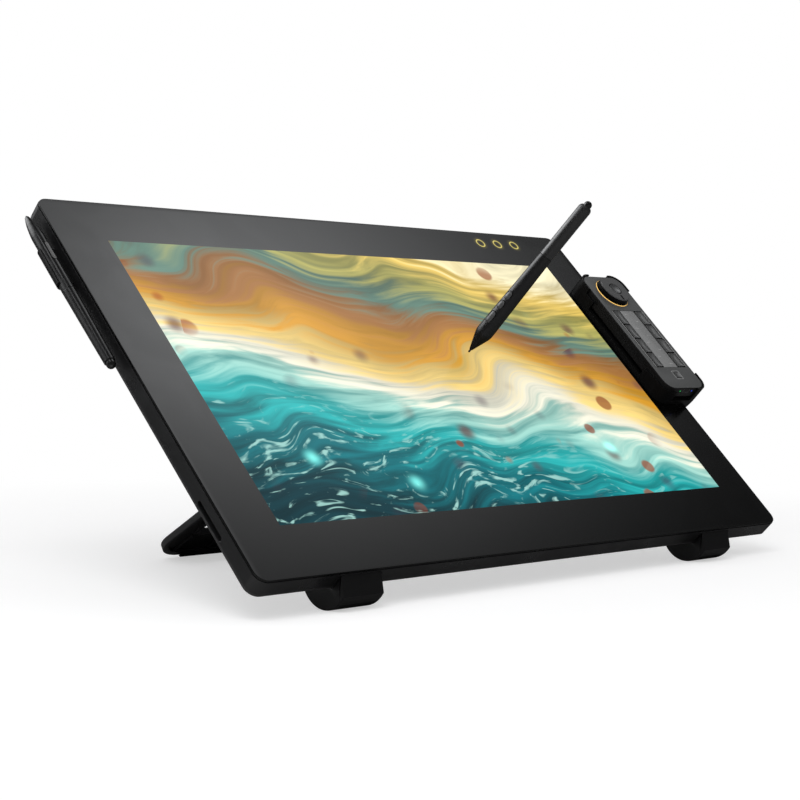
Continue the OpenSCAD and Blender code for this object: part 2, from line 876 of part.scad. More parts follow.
module pod_cover() {
    color([0.1, 0.1, 0.105])
        in_tablet()
            difference() {
                union() {
                    difference() {
                        translate([0, pod_y, 0])
                            slab(pod_w, pod_h, pod_corner_r, pod_z, back_z);
                        translate([0, pod_y, 0])
                            slab(
                                pod_w - 2 * pod_wall, pod_h - 2 * pod_wall,
                                pod_corner_r - pod_wall, pod_z + pod_wall, back_z + cut
                            );
                    }
                    for (place = pod_screws)
                        translate([place[0], place[1], pod_z + eps])
                            cylinder(d = boss_d, h = pod_t - eps);
                    for (place = vesa_holes)
                        translate([place[0], place[1], pod_z + eps])
                            cylinder(d = insert_d + 2 * insert_wall, h = insert_l);
                    for (place = board_screws)
                        translate([place[0], place[1], pod_z + eps])
                            cylinder(d = boss_d, h = socket_top - pod_z - eps);
                }
                for (place = pod_screws)
                    translate([place[0], place[1], pod_z]) {
                        translate([0, 0, -cut])
                            cylinder(d = screw_d, h = pod_t + 2 * cut);
                        translate([0, 0, -cut])
                            cylinder(d = head_d, h = head_t + cut);
                    }
                for (place = vesa_holes)
                    translate([place[0], place[1], pod_z - cut])
                        cylinder(d = insert_d, h = insert_l + 2 * cut);
                for (place = board_screws)
                    translate([place[0], place[1], pod_z + pod_wall])
                        cylinder(d = screw_d, h = pod_t);
                for (s = sockets)
                    translate([s[0], pod_low_y, socket_top - s[2] / 2])
                        box(
                            [-s[1] / 2 - socket_fit, -cut, -s[2] / 2 - socket_fit],
                            [s[1] / 2 + socket_fit, pod_wall + cut, s[2] / 2 + socket_fit]
                        );
            }
}

module main_board() {
    color([0.1, 0.3, 0.15])
        in_tablet()
            difference() {
                translate([0, pod_y, 0])
                    box(
                        [-board_w / 2, -board_h / 2, main_board_z - board_t],
                        [board_w / 2, board_h / 2, main_board_z]
                    );
                for (place = board_screws)
                    translate([place[0], place[1], main_board_z - board_t - cut])
                        cylinder(d = screw_d, h = board_t + 2 * cut);
            }
}

// Sockets on the rear of the main board, their mouths in the pod's lower wall
module port_sockets() {
    color([0.75, 0.75, 0.77])
        in_tablet()
            for (s = sockets)
                translate([s[0], pod_low_y, socket_top - s[2] / 2])
                    socket_shell(s[1], s[2], socket_l + pod_seat, socket_l);
}

// Socket with its mouth at the origin, open along -y
module socket_shell(w, h, length, deep) {
    tongue = w / 2 - socket_tongue_in;
    difference() {
        box([-w / 2, 0, -h / 2], [w / 2, length, h / 2]);
        box(
            [-w / 2 + socket_wall, -cut, -h / 2 + socket_wall],
            [w / 2 - socket_wall, deep - socket_floor, h / 2 - socket_wall]
        );
    }
    box([-tongue, socket_tongue_t, -socket_tongue_t / 2], [tongue, deep, socket_tongue_t / 2]);
}

module vesa_inserts() {
    color([0.75, 0.6, 0.3])
        in_tablet()
            for (place = vesa_holes)
                translate([place[0], place[1], pod_z])
                    difference() {
                        cylinder(d = insert_d, h = insert_l);
                        translate([0, 0, -cut])
                            cylinder(d = vesa_d, h = insert_l + 2 * cut);
                    }
}

module housing_screws() {
    color([0.3, 0.3, 0.32])
        in_tablet() {
            for (place = frame_screws)
                translate([place[0], place[1], back_z])
                    screw(ledge_z - back_z - screw_end_gap, screw_d, head_d, head_t);
            for (place = pod_screws)
                translate([place[0], place[1], pod_z])
                    screw(pod_t + cover_t, screw_d, head_d, head_t);
            for (place = bracket_screws)
                translate([place[0], place[1], back_z - bracket_t])
                    screw(bracket_t + cover_t, screw_d, head_d, head_t);
            for (place = board_screws)
                translate([place[0], place[1], main_board_z + head_t])
                    mirror([0, 0, 1])
                        screw(head_t + board_t + pod_t / 2, screw_d, head_d, head_t);
        }
}

// Front feet

module foot_block() {
    translate([0, -tablet_h / 2, back_z])
        box([-foot_w, 0, 0], [foot_w, tablet_h, 2 * tablet_t]);
}

// Rubber skin on the round underside, from just under the crease to square behind the tablet
module foot_skin() {
    reach = 2 * foot_r;
    pad_turn = 8;
    translate([0, foot_y, back_z])
        intersection() {
            difference() {
                bar_x(foot_r, -foot_w / 2, foot_w / 2);
                bar_x(foot_r - foot_pad_t, -foot_w / 2 - cut, foot_w / 2 + cut);
            }
            rotate([-pad_turn, 0, 0])
                box([-foot_w, -reach, -reach], [foot_w, 0, 0]);
        }
}

module front_feet() {
    color([0.06, 0.06, 0.062])
        in_tablet()
            for (side = [-1, 1])
                translate([side * foot_x, 0, 0])
                    difference() {
                        union() {
                            intersection() {
                                translate([0, foot_y, back_z])
                                    bar_x(foot_r, -foot_w / 2, foot_w / 2);
                                box([-foot_w, -tablet_h, back_z - tablet_h], [foot_w, 0, crease[1]]);
                            }
                            translate([-foot_w / 2, 0, 0])
                                rotate([90, 0, 90])
                                    linear_extrude(foot_w)
                                        polygon([
                                            [-tablet_h / 2, -foot_lip], crease,
                                            [foot_y, back_z], [foot_y, -foot_lip]
                                        ]);
                        }
                        foot_block();
                        foot_skin();
                    }
}

module foot_pads() {
    color([0.04, 0.04, 0.04])
        in_tablet()
            for (side = [-1, 1])
                translate([side * foot_x, 0, 0])
                    difference() {
                        foot_skin();
                        foot_block();
                    }
}

// Rear leg and its hinge

module hinge_brackets() {
    ear_r = leg_t / 2 + leg_gap;
    color([0.2, 0.2, 0.21])
        in_tablet()
            for (side = [-1, 1])
                mirror([side < 0 ? 1 : 0, 0, 0])
                    difference() {
                        union() {
                            translate([0, 0, back_z - bracket_t])
                                box(
                                    [ear_in_x - bracket_pad, hinge_y - bracket_h, 0],
                                    [ear_out_x + bracket_pad, hinge_y - ear_r - cut, bracket_t]
                                );
                            for (x = [ear_in_x, ear_out_x - ear_w]) {
                                box([x, hinge_y - bracket_h, hinge_z], [x + ear_w, hinge_y + ear_r, back_z]);
                                translate([0, hinge_y, hinge_z])
                                    bar_x(ear_r, x, x + ear_w);
                            }
                        }
                        translate([0, hinge_y, hinge_z])
                            bar_x(pin_d / 2, ear_in_x - cut, ear_out_x + cut);
                        for (x = [ear_in_x - bracket_pad / 2, ear_out_x + bracket_pad / 2])
                            translate([x, bracket_screw_y, back_z - bracket_t - cut]) {
                                cylinder(d = screw_d, h = bracket_t + 2 * cut);
                                cylinder(d = head_d, h = head_t + cut);
                            }
                    }
}

module hinge_pins() {
    color([0.7, 0.7, 0.72])
        in_tablet()
            translate([0, hinge_y, hinge_z])
                for (side = [-1, 1])
                    mirror([side < 0 ? 1 : 0, 0, 0])
                        bar_x(pin_d / 2, ear_in_x, ear_out_x);
}

module stand_leg() {
    half = leg_w / 2;
    window = half - leg_arm_w;
    color([0.11, 0.11, 0.115])
        in_leg()
            difference() {
                union() {
                    bar_x(leg_t / 2, -half, half);
                    translate([0, 0, -leg_t / 2])
                        linear_extrude(leg_t) {
                            translate([-half, 0])
                                square([leg_w, leg_l - leg_corner_r]);
                            translate([-half + leg_corner_r, 0])
                                square([leg_w - 2 * leg_corner_r, leg_l]);
                            for (s = [-1, 1])
                                translate([s * (half - leg_corner_r), leg_l - leg_corner_r])
                                    circle(leg_corner_r);
                        }
                }
                translate([0, 0, -leg_t])
                    linear_extrude(2 * leg_t) {
                        translate([-window, -leg_t])
                            square([2 * window, leg_l - leg_bar_h - leg_window_r + leg_t]);
                        translate([-window + leg_window_r, 0])
                            square([2 * window - 2 * leg_window_r, leg_l - leg_bar_h]);
                        for (s = [-1, 1])
                            translate([s * (window - leg_window_r), leg_l - leg_bar_h - leg_window_r])
                                circle(leg_window_r);
                    }
                bar_x(pin_d / 2 + pin_fit, -half - cut, half + cut);
            }
}

// Rubber strip under the end of the leg, half round below
module leg_strip() {
    half = leg_w / 2 - leg_corner_r;
    color([0.04, 0.04, 0.04])
        in_leg()
            translate([0, strip_at, 0]) {
                box([-half, -strip_r, -strip_drop], [half, strip_r, -leg_t / 2]);
                intersection() {
                    translate([0, 0, -strip_drop])
                        bar_x(strip_r, -half, half);
                    box([-leg_w, -leg_l, -leg_l], [leg_w, leg_l, -leg_t / 2]);
                }
            }
}

// Clip for the slim pen on the left wall

module pen_clip() {
    channel = slim_d / 2 + clip_fit;
    wall_x = -tablet_w / 2;
    from = clip_y - clip_l / 2;
    color([0.07, 0.07, 0.07])
        in_tablet() {
            difference() {
                union() {
                    translate([slim_x, from, -slim_z])
                        rotate([-90, 0, 0])
                            cylinder(r = channel + clip_wall, h = clip_l);
                    box(
                        [slim_x, from, -slim_z - channel - clip_wall],
                        [wall_x, from + clip_l, -slim_z + clip_jaw]
                    );
                }
                translate([slim_x, from - cut, -slim_z])
                    rotate([-90, 0, 0])
                        cylinder(r = channel, h = clip_l + 2 * cut);
                // The mouth that the pen lifts out of
                box([slim_x - channel, from - cut, -slim_z], [slim_x + channel, from + clip_l + cut, slim_z]);
                box(
                    [2 * slim_x, from - cut, -slim_z + clip_jaw],
                    [wall_x + cut, from + clip_l + cut, slim_z]
                );
            }
            tongue(-1, clip_y);
        }
}

// Cradle for the remote over the right edge

module remote_cradle() {
    pocket_w = remote_w + 2 * cradle_fit;
    pocket_h = remote_h + 2 * cradle_fit;
    out_w = pocket_w + 2 * cradle_wall;
    out_h = pocket_h + 2 * cradle_wall;
    corner = remote_corner_r + cradle_fit;
    face = remote_rise + remote_t;
    edge = tablet_w / 2 - remote_x;
    seat = remote_rise - rest_gap;
    left_step = remote_rise + switch_z - switch_h;
    color([0.06, 0.06, 0.062])
        in_tablet() {
            translate([remote_x, remote_y, 0])
                difference() {
                    intersection() {
                        slab(out_w, out_h, corner + cradle_wall, back_z, face + post_proud);
                        translate([0, out_h, 0])
                            rotate([90, 0, 0])
                                linear_extrude(2 * out_h)
                                    polygon([
                                        [-out_w, 0], [-out_w, 2 * face],
                                        [out_w / 2, 2 * face], [out_w / 2, face],
                                        [edge + cradle_hook, -cradle_drop],
                                        [edge, slot_z - slot_w / 2], [edge, 0]
                                    ]);
                    }
                    slab(pocket_w, pocket_h, corner, seat, 2 * face);
                    // Openings between the corner posts
                    box([-out_w, -out_h / 2 + post_l, left_step], [out_w, out_h / 2 - post_l, 2 * face]);
                    box(
                        [-out_w, -out_h / 2 + left_post_l, cradle_floor],
                        [0, out_h / 2 - left_post_l, 2 * face]
                    );
                    box([0, -out_h / 2 + post_l, cradle_floor], [out_w, out_h / 2 - post_l, 2 * face]);
                    box([-out_w / 2 + post_w, -out_h, cradle_floor], [out_w / 2 - post_w, out_h, 2 * face]);
                    // Trough between the two seats
                    box(
                        [-pocket_w / 2, -out_h / 2 + seat_l, cradle_floor],
                        [pocket_w / 2, out_h / 2 - seat_l, 2 * face]
                    );
                    // Low corner post
                    box(
                        [-out_w, -out_h, face - post_low],
                        [-out_w / 2 + post_w, -out_h / 2 + post_l, 2 * face]
                    );
                }
            tongue(1, remote_y);
        }
}

// Remote

module remote_base() {
    color([0.09, 0.09, 0.09])
        in_remote()
            difference() {
                union() {
                    difference() {
                        slab(remote_w, remote_h, remote_corner_r, 0, remote_seam);
                        slab(
                            remote_w - 2 * remote_wall, remote_h - 2 * remote_wall,
                            remote_corner_r - remote_wall, remote_wall, remote_seam + cut
                        );
                    }
                    for (place = remote_posts)
                        translate([place[0], place[1], eps])
                            cylinder(d = remote_post_d, h = remote_board_z - eps);
                }
                for (place = remote_posts)
                    translate([place[0], place[1], -cut]) {
                        cylinder(d = remote_screw_d, h = remote_seam);
                        cylinder(d = remote_screw_head, h = head_t + cut);
                    }
            }
}

// Opening for one column of keys, for the side -1 or 1
module key_column(side) {
    translate([side * key_x, window_y, 0])
        box(
            [-key_w / 2 - key_fit, -window_h / 2 - key_fit, roof_z - cut],
            [key_w / 2 + key_fit, window_h / 2 + key_fit, remote_t + cut]
        );
}

module remote_top() {
    hole = square_key / 2 + key_fit;
    color([0.27, 0.275, 0.275])
        in_remote()
            difference() {
                union() {
                    difference() {
                        slab(remote_w, remote_h, remote_corner_r, remote_seam, remote_t);
                        slab(
                            remote_w - 2 * remote_wall, remote_h - 2 * remote_wall,
                            remote_corner_r - remote_wall, remote_seam - cut, roof_z
                        );
                    }
                    for (place = remote_posts)
                        translate([place[0], place[1], remote_seam])
                            cylinder(d = remote_post_d, h = face_t + roof_z - remote_seam - eps);
                    translate([0, dial_y, roof_z])
                        cylinder(d = boss_dial_d, h = dial_boss_z - roof_z);
                }
                for (place = remote_posts)
                    translate([place[0], place[1], remote_seam - cut])
                        cylinder(d = remote_screw_d, h = roof_z - remote_seam + cut);
                for (side = [-1, 1])
                    key_column(side);
                translate([0, window_y, 0]) {
                    box(
                        [-window_w / 2 - lens_fit, -window_h / 2 - lens_fit, lens_z],
                        [window_w / 2 + lens_fit, window_h / 2 + lens_fit, remote_t + cut]
                    );
                    box(
                        [-window_w / 2 + lens_ledge, -window_h / 2 + lens_ledge, roof_z - cut],
                        [window_w / 2 - lens_ledge, window_h / 2 - lens_ledge, remote_t]
                    );
                }
                translate([0, square_key_y, 0])
                    box([-hole, -hole, roof_z - cut], [hole, hole, remote_t + cut]);
                translate([0, dial_y, roof_z - cut])
                    cylinder(d = boss_bore_d, h = remote_t + dial_h);
                translate([0, dial_y, remote_t - light_ring_seat])
                    difference() {
                        cylinder(d = light_ring_d, h = light_ring_seat + cut);
                        translate([0, 0, -cut])
                            cylinder(d = dial_d - 2 * light_ring_in, h = light_ring_seat + 3 * cut);
                    }
                translate([-remote_w / 2 - cut, switch_y, switch_z])
                    box(
                        [0, -switch_l / 2 - key_fit, -switch_h / 2 - key_fit],
                        [
                            remote_wall + 2 * cut,
                            switch_l / 2 + switch_travel + key_fit,
                            switch_h / 2 + key_fit
                        ]
                    );
                for (side = [-1, 1])
                    translate([side * light_x, -remote_h / 2 - cut, switch_z])
                        rotate([-90, 0, 0])
                            cylinder(d = light_d, h = remote_wall + 2 * cut);
                translate([0, -remote_h / 2, remote_socket_z + data_h / 2])
                    box(
                        [-data_w / 2 - socket_fit, -cut, -data_h],
                        [data_w / 2 + socket_fit, remote_wall + cut, data_h / 2 + socket_fit]
                    );
            }
}

module remote_board() {
    w = remote_w - 2 * (remote_wall + remote_board_fit);
    h = remote_h - 2 * (remote_wall + remote_board_fit);
    color([0.1, 0.3, 0.15])
        in_remote()
            difference() {
                union() {
                    slab(w, h, remote_corner_r - remote_wall - remote_board_fit, remote_board_z, remote_seam);
                    for (i = [1:8])
                        translate([key_place(i)[0], key_place(i)[1], remote_seam - eps])
                            cylinder(r = 2, h = dome_top - remote_seam + eps);
                    translate([0, square_key_y, remote_seam - eps])
                        cylinder(r = 2, h = dome_top - remote_seam + eps);
                    translate([0, dial_y, remote_seam - eps])
                        cylinder(r = 3, h = dial_button_z - key_travel - switch_clear - remote_seam + eps);
                }
                for (place = remote_posts)
                    translate([place[0], place[1], 0])
                        cylinder(d = remote_screw_d, h = remote_t);
            }
}

module remote_battery() {
    color([0.75, 0.75, 0.78])
        in_remote()
            translate([0, battery_y, 0])
                box(
                    [-battery_w / 2, -battery_h / 2, remote_wall],
                    [battery_w / 2, battery_h / 2, remote_board_z - play]
                );
}

module remote_display() {
    color([0.15, 0.15, 0.16])
        in_remote()
            translate([0, window_y, 0])
                box(
                    [-window_w / 2 + oled_in, -window_h / 2 + oled_in, lens_z - oled_t],
                    [window_w / 2 - oled_in, window_h / 2 - oled_in, lens_z]
                );
}

module remote_window() {
    color([0.43, 0.43, 0.43])
        in_remote()
            translate([0, window_y, 0])
                box([-window_w / 2, -window_h / 2, lens_z], [window_w / 2, window_h / 2, remote_t]);
}

// Keys 1 to 4 run down the left column and 5 to 8 down the right one
function key_place(i) = [
    (i <= 4 ? -1 : 1) * key_x,
    window_y + window_h / 2 - (((i - 1) % 4) + 0.5) * key_pitch
];

// Key cap with a flange under the face
module key_cap(w, h, flange) {
    box([-w / 2, -h / 2, key_flange_z], [w / 2, h / 2, remote_t + key_proud]);
    box([-w / 2 - flange, -h / 2, key_flange_z], [w / 2 + flange, h / 2, key_flange_z + key_flange_t]);
}

module key(i) {
    color([0.36, 0.37, 0.37])
        in_remote()
            translate(key_place(i))
                key_cap(key_w, key_pitch - key_gap, key_web / 2);
}

module square_key() {
    color([0.3, 0.3, 0.3])
        in_remote()
            translate([0, square_key_y, 0])
                key_cap(square_key, square_key, key_flange);
}

module dial() {
    color([0.2, 0.2, 0.205])
        in_remote()
            translate([0, dial_y, dial_z])
                difference() {
                    cylinder(d = dial_d, h = dial_h);
                    translate([0, 0, -cut])
                        cylinder(d = boss_dial_d + 2 * dial_fit, h = dial_h - dial_top_t + cut);
                    cylinder(d = dial_button_d + 2 * dial_button_gap, h = 2 * dial_h);
                    // Finger notch near the rim
                    translate([-notch_w / 2, -dial_d / 2 + notch_in, dial_h - notch_deep])
                        cube([notch_w, notch_l, 2 * notch_deep]);
                }
}

module dial_button() {
    color([0.23, 0.23, 0.235])
        in_remote()
            translate([0, dial_y, dial_button_z]) {
                cylinder(d = dial_button_d, h = dial_z + dial_h - dial_button_z);
                cylinder(d = boss_bore_d - 2 * play, h = dial_flange_t);
            }
}

module dial_light_ring() {
    color([0.84, 0.66, 0.3])
        in_remote()
            translate([0, dial_y, remote_t - light_ring_seat])
                difference() {
                    cylinder(d = light_ring_d, h = light_ring_t);
                    translate([0, 0, -cut])
                        cylinder(d = dial_d - 2 * light_ring_in, h = light_ring_t + 2 * cut);
                }
}

module status_lights() {
    color([0.3, 0.7, 0.4])
        in_remote()
            for (side = [-1, 1])
                translate([side * light_x, -remote_h / 2, switch_z])
                    rotate([-90, 0, 0])
                        cylinder(d = light_d, h = remote_wall + cut);
}

module remote_socket() {
    color([0.75, 0.75, 0.77])
        in_remote()
            translate([0, -remote_h / 2, remote_socket_z + data_h / 2])
                socket_shell(data_w, data_h, remote_socket_l, remote_socket_l);
}

module remote_switch() {
    color([0.05, 0.05, 0.05])
        in_remote()
            translate([-remote_w / 2, switch_y, switch_z]) {
                box(
                    [-switch_proud, -switch_l / 2, -switch_h / 2],
                    [remote_wall + play, switch_l / 2, switch_h / 2]
                );
                box(
                    [remote_wall + play, -switch_l / 2 - switch_flange, -switch_h / 2 - play],
                    [remote_wall + play + switch_flange_t, switch_l / 2 + switch_flange, switch_h / 2 + play]
                );
            }
}

module remote_screws() {
    color([0.3, 0.3, 0.32])
        in_remote()
            for (place = remote_posts)
                translate([place[0], place[1], 0])
                    screw(roof_z - screw_end_gap, remote_screw_d, remote_screw_head, head_t);
}

// Drawing pen, measured along its axis from the middle of the nib's round end

module pen_grip() {
    color([0.09, 0.09, 0.09])
        in_pen()
            difference() {
                union() {
                    translate([0, 0, nib_out])
                        cylinder(r1 = nib_d, r2 = grip_d / 2, h = cone_l - nib_out);
                    translate([0, 0, cone_l])
                        cylinder(d = grip_d, h = grip_wide - cone_l);
                    translate([0, 0, grip_wide])
                        cylinder(d1 = grip_d, d2 = barrel_d, h = pen_joint - grip_wide);
                }
                cylinder(r = nib_r + nib_fit, h = pen_joint);
                translate([0, 0, nib_out + nib_in])
                    cylinder(r = pen_bore_r, h = pen_joint);
                for (i = [0:2])
                    translate([0, 0, pen_button_at[i]])
                        button_prism(pen_button_l[i] + 2 * button_fit, pen_button_w + 2 * button_fit, grip_d);
            }
}

// Long round-ended prism standing along x from the axis outwards
module button_prism(length, width, reach) {
    rotate([0, 90, 0])
        linear_extrude(reach) {
            square([length - width, width], center = true);
            for (s = [-1, 1])
                translate([s * (length - width) / 2, 0])
                    circle(d = width);
        }
}

module pen_button(i) {
    at = pen_button_at[i];
    r = grip_r(at);
    color([0.15, 0.15, 0.155])
        in_pen()
            difference() {
                intersection() {
                    translate([0, 0, at])
                        button_prism(pen_button_l[i], pen_button_w, grip_d);
                    cylinder(r = r + pen_button_proud, h = pen_l);
                }
                translate([0, 0, -cut])
                    cylinder(r = r - button_depth, h = pen_l);
            }
}

module pen_barrel() {
    color([0.1, 0.1, 0.1])
        in_pen()
            difference() {
                union() {
                    translate([0, 0, pen_joint])
                        cylinder(d = barrel_d, h = pen_tail - tail_chamfer - pen_joint);
                    translate([0, 0, pen_tail - tail_chamfer])
                        cylinder(d1 = barrel_d, d2 = barrel_d - tail_chamfer, h = tail_chamfer);
                    translate([0, 0, pen_joint - joint_l])
                        cylinder(r = pen_bore_r - joint_fit, h = joint_l + cut);
                }
                translate([0, 0, pen_joint - joint_l - cut])
                    cylinder(r = pen_tube_r, h = pen_l);
                translate([0, 0, pen_tail - joint_l])
                    cylinder(d = eraser_d + 2 * eraser_fit, h = pen_l);
            }
}

// Circuit and coil that the nib bears on
module pen_core() {
    color([0.6, 0.4, 0.2])
        in_pen()
            translate([0, 0, core_from])
                cylinder(r = core_r, h = pen_tail - joint_l - eraser_travel - play - core_from);
}

module pen_nib() {
    color([0.1, 0.1, 0.1])
        in_pen()
            nib();
}

module nib() {
    sphere(r = nib_r);
    cylinder(r = nib_r, h = nib_out + nib_in);
}

module pen_eraser() {
    color([0.05, 0.05, 0.05])
        in_pen()
            translate([0, 0, pen_l - nib_r])
                eraser(eraser_d, eraser_out);
}

// Eraser with a domed end at the origin, its stem towards -z
module eraser(d, out) {
    stem = joint_l - eraser_travel - play;
    dome = d / 2;
    translate([0, 0, -dome])
        sphere(r = dome);
    translate([0, 0, -out - stem])
        cylinder(d = d, h = out + stem - dome);
}

// Slim pen, measured the same way

module slim_barrel() {
    color([0.09, 0.09, 0.09])
        in_slim_pen()
            difference() {
                union() {
                    translate([0, 0, slim_nib_out])
                        cylinder(r1 = nib_d, r2 = slim_nose_d / 2, h = slim_nose_l - slim_nib_out);
                    translate([0, 0, slim_nose_l])
                        cylinder(d1 = slim_nose_d, d2 = slim_d, h = slim_cone_l - slim_nose_l);
                    translate([0, 0, slim_cone_l])
                        cylinder(d = slim_d, h = slim_grip_end - slim_cone_l);
                    translate([0, 0, slim_grip_end])
                        cylinder(d1 = slim_d, d2 = slim_tail_d, h = slim_tail - slim_grip_end);
                }
                cylinder(r = nib_r + nib_fit, h = slim_l);
                translate([0, 0, nib_out + nib_in])
                    cylinder(r = slim_core_r, h = slim_tail - nib_out - nib_in - joint_l);
                translate([0, 0, slim_tail - joint_l])
                    cylinder(d = slim_eraser_d + 2 * eraser_fit, h = slim_l);
                translate([0, 0, rocker_at])
                    rotate([0, 0, 90])
                        button_prism(rocker_l + 2 * rocker_fit, rocker_w + 2 * button_fit, slim_d);
            }
}

module slim_core() {
    color([0.6, 0.4, 0.2])
        in_slim_pen()
            translate([0, 0, core_from])
                cylinder(r = slim_core_r - play, h = slim_tail - joint_l - eraser_travel - play - core_from);
}

module slim_nib() {
    color([0.1, 0.1, 0.1])
        in_slim_pen()
            nib();
}

module slim_rocker() {
    color([0.4, 0.4, 0.4])
        in_slim_pen()
            difference() {
                intersection() {
                    translate([0, 0, rocker_at])
                        rotate([0, 0, 90])
                            button_prism(rocker_l, rocker_w, slim_d);
                    cylinder(r = slim_d / 2 + rocker_proud, h = slim_l);
                }
                translate([0, 0, -cut])
                    cylinder(r = slim_core_r + 2 * play, h = slim_l);
            }
}

module slim_eraser() {
    color([0.05, 0.05, 0.05])
        in_slim_pen()
            translate([0, 0, slim_l - 2 * nib_r])
                eraser(slim_eraser_d, eraser_out);
}

cover_glass();
glass_gasket();
lcd_panel();
backlight_unit();
sensor_board();
shield_plate();
touch_key_lights();
touch_key_board();
mid_frame();
rear_cover();
pod_cover();
main_board();
port_sockets();
vesa_inserts();
housing_screws();
power_key();
front_feet();
foot_pads();
hinge_brackets();
hinge_pins();
stand_leg();
leg_strip();
pen_clip();
remote_cradle();
remote_base();
remote_top();
remote_board();
remote_battery();
remote_display();
remote_window();
key(1);  // key_1
key(2);  // key_2
key(3);  // key_3
key(4);  // key_4
key(5);  // key_5
key(6);  // key_6
key(7);  // key_7
key(8);  // key_8
square_key();
dial();
dial_button();
dial_light_ring();
status_lights();
remote_socket();
remote_switch();
remote_screws();
pen_grip();
pen_barrel();
pen_core();
pen_nib();
pen_button(0);  // pen_button_1
pen_button(1);  // pen_button_2
pen_button(2);  // pen_button_3
pen_eraser();
slim_barrel();
slim_core();
slim_nib();
slim_rocker();
slim_eraser();
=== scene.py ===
"""Looks of a pen display on its stand, with a quick-key remote in a cradle and two pens.

Each sub-assembly is drawn in millimetres in its own flat frame. A Place turns such a drawing into
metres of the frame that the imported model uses.
"""

import logging
import math
from dataclasses import dataclass
from enum import Enum
from functools import lru_cache
from typing import ClassVar, Sequence

import bmesh
import bpy
import numpy as np
from mathutils import Matrix, Vector
from mathutils.geometry import tessellate_polygon


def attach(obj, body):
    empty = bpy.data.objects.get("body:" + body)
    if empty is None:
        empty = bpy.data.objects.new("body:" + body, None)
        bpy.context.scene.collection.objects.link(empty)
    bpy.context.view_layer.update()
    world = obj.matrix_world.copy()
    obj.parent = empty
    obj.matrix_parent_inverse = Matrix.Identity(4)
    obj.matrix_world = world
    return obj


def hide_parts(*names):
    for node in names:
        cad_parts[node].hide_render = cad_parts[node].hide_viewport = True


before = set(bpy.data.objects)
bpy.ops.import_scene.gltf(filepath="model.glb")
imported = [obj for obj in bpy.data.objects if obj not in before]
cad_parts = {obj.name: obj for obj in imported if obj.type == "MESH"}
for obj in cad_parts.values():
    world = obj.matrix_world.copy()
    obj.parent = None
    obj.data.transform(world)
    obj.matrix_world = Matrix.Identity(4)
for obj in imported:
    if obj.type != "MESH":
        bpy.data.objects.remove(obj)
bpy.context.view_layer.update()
LOG = logging.getLogger("pen_display")
MM = 0.001
CREASE = math.radians(32.0)
Color = tuple[float, float, float]
Point = tuple[float, float, float]
Pairs = tuple[tuple[float, float], ...]
Outline = tuple[np.ndarray, np.ndarray]
Socket = bpy.types.NodeSocket
BLACK, WHITE = (0.0, 0.0, 0.0, 1.0), (1.0, 1.0, 1.0, 1.0)


class Axis(Enum):
    """Axes that a drawing is turned about."""

    X = 0
    Y = 1
    Z = 2


def turn_about(axis: Axis, degrees: float) -> np.ndarray:
    """Rotation matrix about one axis: cosines on the diagonal of the other two, sines across it.

    Args:
        axis: Axis that stays where it is.
        degrees: Angle by the right-hand rule.

    Returns:
        A 3 by 3 matrix.
    """
    cosine, sine = math.cos(math.radians(degrees)), math.sin(math.radians(degrees))
    j, k = (axis.value + 1) % 3, (axis.value + 2) % 3
    matrix = np.eye(3)
    matrix[j, j] = matrix[k, k] = cosine
    matrix[j, k], matrix[k, j] = -sine, sine
    return matrix


@dataclass(frozen=True)
class Place:
    """Where a drawing sits: a turn, and the place of its origin in millimetres."""

    turn: np.ndarray
    shift: np.ndarray

    def row(self, points: np.ndarray) -> np.ndarray:
        """Points of the drawing in metres of the shared frame."""
        return (points @ self.turn.T + self.shift) * MM

    def child(self, shift: Sequence[float], turn: np.ndarray | None = None) -> "Place":
        """A place given in this one's own drawing."""
        own = np.eye(3) if turn is None else turn
        return Place(self.turn @ own, self.turn @ np.asarray(shift, float) + self.shift)

    def unturned(self) -> np.ndarray:
        """Where the shared frame's origin lies in this drawing."""
        return -self.turn.T @ self.shift


TILT = 44.1
LEG_OPEN = 73.8233
BOARD = Place(turn_about(Axis.X, TILT), np.array([-3.85, -21.997, 164.739]))
REMOTE = BOARD.child((299.9, 36.8, 7.5))
PEN = BOARD.child(
    (58.1, 25.8, 1.0),
    turn_about(Axis.Z, 26.1) @ turn_about(Axis.Y, 22.6) @ turn_about(Axis.Z, 148.0),
)
SLIM_PEN = BOARD.child((-317.35, 183.1, -10.6), turn_about(Axis.X, 90.0))
LEG = BOARD.child((0.0, -44.5, -20.85), turn_about(Axis.X, -LEG_OPEN))
ALONG_X = np.array([[0.0, 0.0, 1.0], [1.0, 0.0, 0.0], [0.0, 1.0, 0.0]])
ALONG_Y = np.array([[1.0, 0.0, 0.0], [0.0, 0.0, -1.0], [0.0, 1.0, 0.0]])


@dataclass
class Surface:
    """Points of a drawing and the faces between them."""

    points: np.ndarray
    faces: list[list[int]]

    def moved(self, shift: Sequence[float]) -> "Surface":
        """The same surface at another place of its drawing."""
        return Surface(self.points + np.asarray(shift, float), self.faces)

    def turned(self, matrix: np.ndarray) -> "Surface":
        """The same surface turned about the drawing's origin."""
        return Surface(self.points @ matrix.T, self.faces)


def joined(surfaces: Sequence[Surface]) -> Surface:
    """One surface of several, with the face numbers moved on past the points before them.

    Args:
        surfaces: Surfaces of one drawing.

    Returns:
        All their points and faces.
    """
    starts = np.cumsum([0] + [len(s.points) for s in surfaces[:-1]])
    faces = [[int(start) + i for i in face] for start, s in zip(starts, surfaces) for face in s.faces]
    return Surface(np.concatenate([s.points for s in surfaces]), faces)


